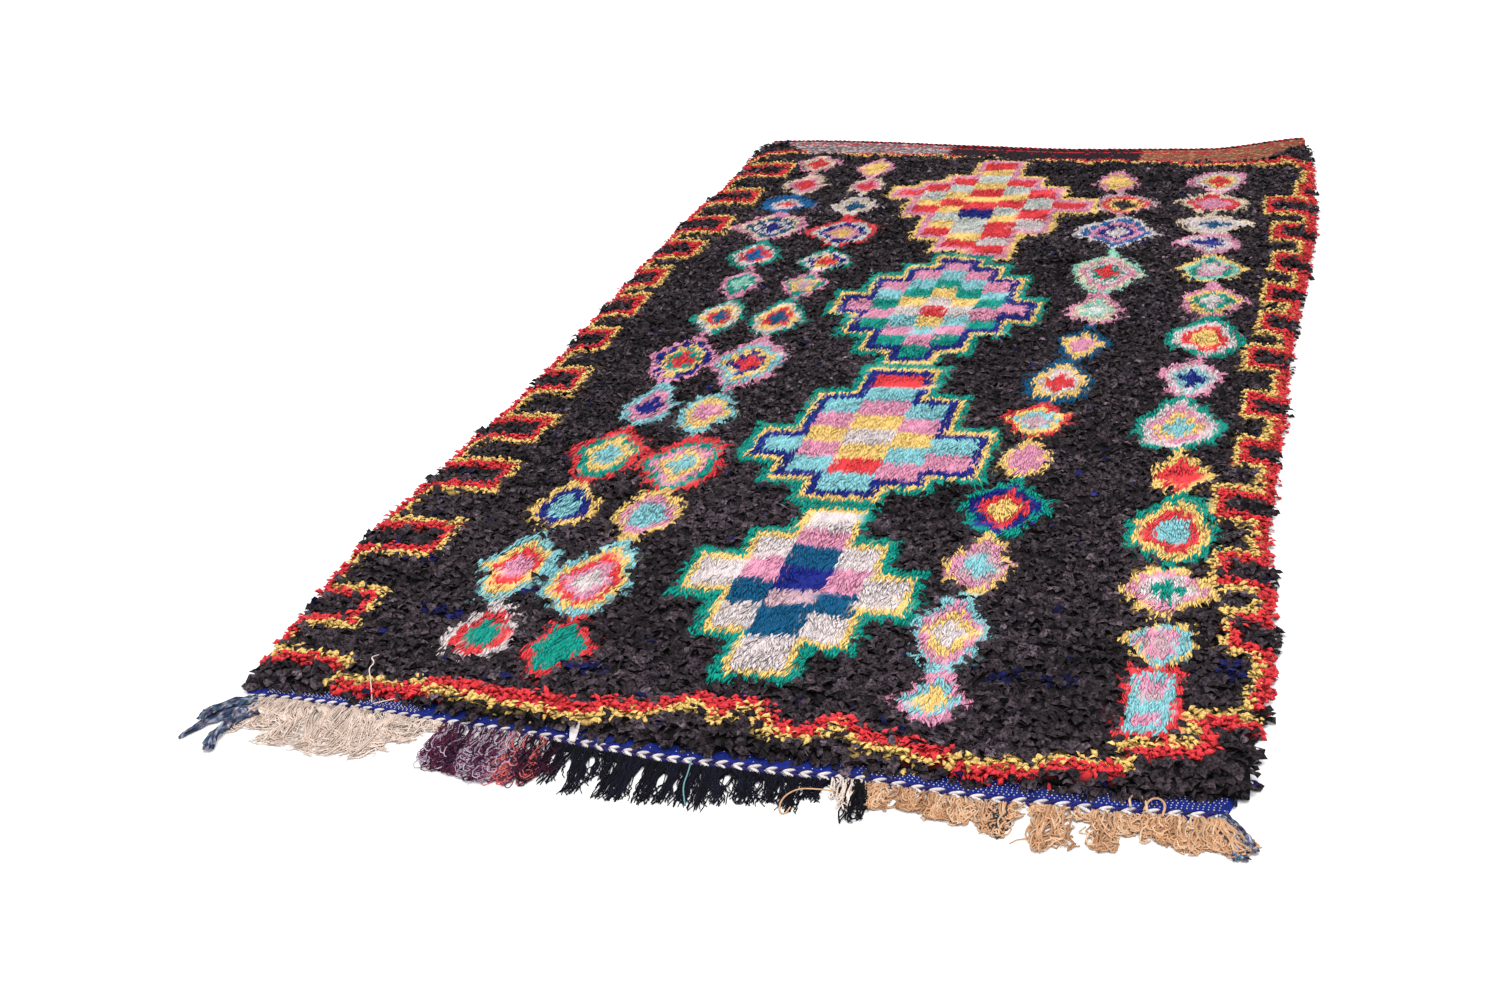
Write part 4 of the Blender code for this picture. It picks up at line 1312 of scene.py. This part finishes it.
lay_fringe(
    "tan_fringe", "fringe_tan", radius=0.00140, points=19, sides=4, sway=0.0050, curl=0.0062,
    turns=3.4, rise=0.0055, start=0.0172, above=0.0006, spread=0.005, looped=0.7, order=0.2, shading=0.12,
    holes=(
        (450, -1378, 7, 20), (518, -1384, 5, 12), (490, -1338, 10, 6), (412, -1346, 14, 6),
        (372, -1360, 8, 6),
    ),
    bunches=(
        (224, 242, 226, 240, -1346, 9, "ttv"), (236, 264, 236, 256, -1374, 15, "ttuv"),
        (262, 300, 268, 300, -1368, 21, "ttuv"), (296, 332, 304, 336, -1381, 22, "ttuv"),
        (326, 362, 336, 366, -1384, 21, "ttuv"), (356, 396, 366, 402, -1398, 24, "ttuvg"),
        (390, 420, 392, 420, -1364, 10, "ttv"), (415, 448, 416, 444, -1346, 10, "ttv"),
        (430, 452, 438, 454, -1417, 18, "ttuv"), (448, 472, 456, 482, -1408, 15, "ttuv"),
        (468, 502, 476, 506, -1350, 9, "ttv"), (496, 526, 506, 534, -1405, 20, "ttuv"),
        (520, 552, 530, 556, -1370, 18, "ttuv"), (546, 592, 556, 596, -1378, 28, "ttuv"),
        (586, 622, 592, 630, -1392, 20, "ttuv"), (616, 646, 626, 656, -1380, 20, "ttuv"),
        (632, 650, 650, 676, -1388, 12, "ttuv"), (640, 654, 678, 692, -1378, 12, "ttuv"),
    ),
)


# At both ends of the fringe torn strips of thin blue denim are knotted on. They lie crumpled on the floor
# past the corners, and each is a closed sheet that follows its own course.
RAG_STRIPS = metres((
    # piece, node, slot, and each strip's width at root and tip and its course on the floor
    ("rag_strips_left", "fringe_rag_left", "rag_left", (
        (46, 4, ((-648, -1296), (-684, -1320), (-702, -1352), (-716, -1390))),
        (34, 10, ((-652, -1316), (-662, -1346), (-668, -1382), (-659, -1413))),
        (20, 12, ((-652, -1290), (-684, -1306), (-704, -1330), (-707, -1352))),
    )),
    ("rag_strips_right", "fringe_rag_right", "rag_right", (
        (14, 22, ((640, -1318), (652, -1340), (662, -1364), (672, -1394))),
        (12, 14, ((645, -1318), (664, -1334), (676, -1358), (684, -1380))),
    )),
))
RAG_DYES = [linear(*c) for c in ((46, 62, 98), (38, 40, 58), (132, 138, 150), (80, 62, 92), (50, 84, 104))]
RAG_CLOTH = 0.0009
RAG_CRUMPLE = 0.0052
RAG_STACK = 0.0022
RAG_COLUMNS = 12
RAG_ROWS = 26
# The crease shading of the denim paints shade in its hollows and light on its crests.
strip_finish = cloth_finish("worn thin denim", bump=0.5, root_painted_shade=0.5, mottle=0.45, painted_crease_shading=0.35)
for name, node, slot, strips in RAG_STRIPS:
    dice = np.random.default_rng(len(name) + 40)
    vertices, faces, dyes = [], [], []
    for order, (root_width, tip_width, course) in enumerate(strips):
        course = rounded([np.array(c) for c in course])
        top, tones = [], []
        for r in range(RAG_ROWS):
            share = r / (RAG_ROWS - 1) * (len(course) - 1)
            k = min(int(share), len(course) - 2)
            centre = course[k] + (course[k + 1] - course[k]) * (share - k)
            ahead = (course[k + 1] - course[k]) / np.hypot(*(course[k + 1] - course[k]))
            part = r / (RAG_ROWS - 1)
            width = root_width + (tip_width - root_width) * part
            width *= 1 + 0.22 * math.sin(6 * part + 2 * order)
            for c in range(RAG_COLUMNS):
                across = c / (RAG_COLUMNS - 1) - 0.5
                crumple = noise.noise(Vector((across * 5, part * 4, order * 7.0)))
                crumple += 0.6 * noise.noise(Vector((across * 11, part * 9, order * 7.0 + 3)))
                fray = 0.0060 * part * noise.noise(Vector((c * 1.7, part * 3, 5.0 + order)))
                side = 1.0 if c < RAG_COLUMNS / 2 else 9.0
                across *= 1 + 0.5 * noise.noise(Vector((part * 14, order * 3.0, side)))
                x, y = centre + np.array((-ahead[1], ahead[0])) * width * across + ahead * fray
                hump = RAG_CRUMPLE * max(0.0, 0.5 + crumple) * (1 - 0.3 * part)
                top.append((x, y, 0.0016 + RAG_CLOTH + RAG_STACK * order + hump))
                # Painted shade: each strip is darker in its low folds and lighter on its humps.
                fold_painted_shade = 0.55 + 0.9 * max(0.0, 0.5 + crumple)
                patch = noise.noise(Vector((x * 110, y * 110, 2.0)))
                base = RAG_DYES[int(np.searchsorted((-0.25, -0.02, 0.16, 0.30), patch))]
                tones.append([v * fold_painted_shade for v in base])
        start = len(vertices)
        vertices += top + [(x, y, z - RAG_CLOTH) for x, y, z in top]
        dyes += tones + tones
        strip_faces = sheet_faces(RAG_COLUMNS, RAG_ROWS, RAG_COLUMNS * RAG_ROWS)
        faces += [tuple(start + i for i in face) for face in strip_faces]
    piece = new_piece(name, vertices, faces, strip_finish)
    set_dye(piece.data, dyes, 1.0)
    join_rug(piece, node)


# A torn tab of white cotton cloth is caught under the pile. It hangs across the near band to the navy
# fringe, as a small folded sheet.
TAB_COURSE = (
    (-0.1835, -1.278, 0.0165), (-0.182, -1.288, 0.0100), (-0.180, -1.298, 0.0085), (-0.177, -1.310, 0.0070),
)
TAB_WIDTHS = (0.013, 0.013, 0.011, 0.008)
TAB_CLOTH = 0.0008
tab_top = []
for (x, y, z), width in zip(TAB_COURSE, TAB_WIDTHS):
    for k in range(4):
        tab_top.append((x + width * (k / 3 - 0.5), y, z + (0.0012 if k % 2 else 0.0)))
tab_bottom = [(x, y, z - TAB_CLOTH) for x, y, z in tab_top]
tab = new_piece("white_tab", tab_top + tab_bottom, sheet_faces(4, 4, 16), fringe_finish)
# The rows run towards the near end, so the faces are turned over to look outwards.
tab.data.flip_normals()
set_dye(tab.data, linear(226, 214, 214), 1.0)
join_rug(tab, "fringe_navy")
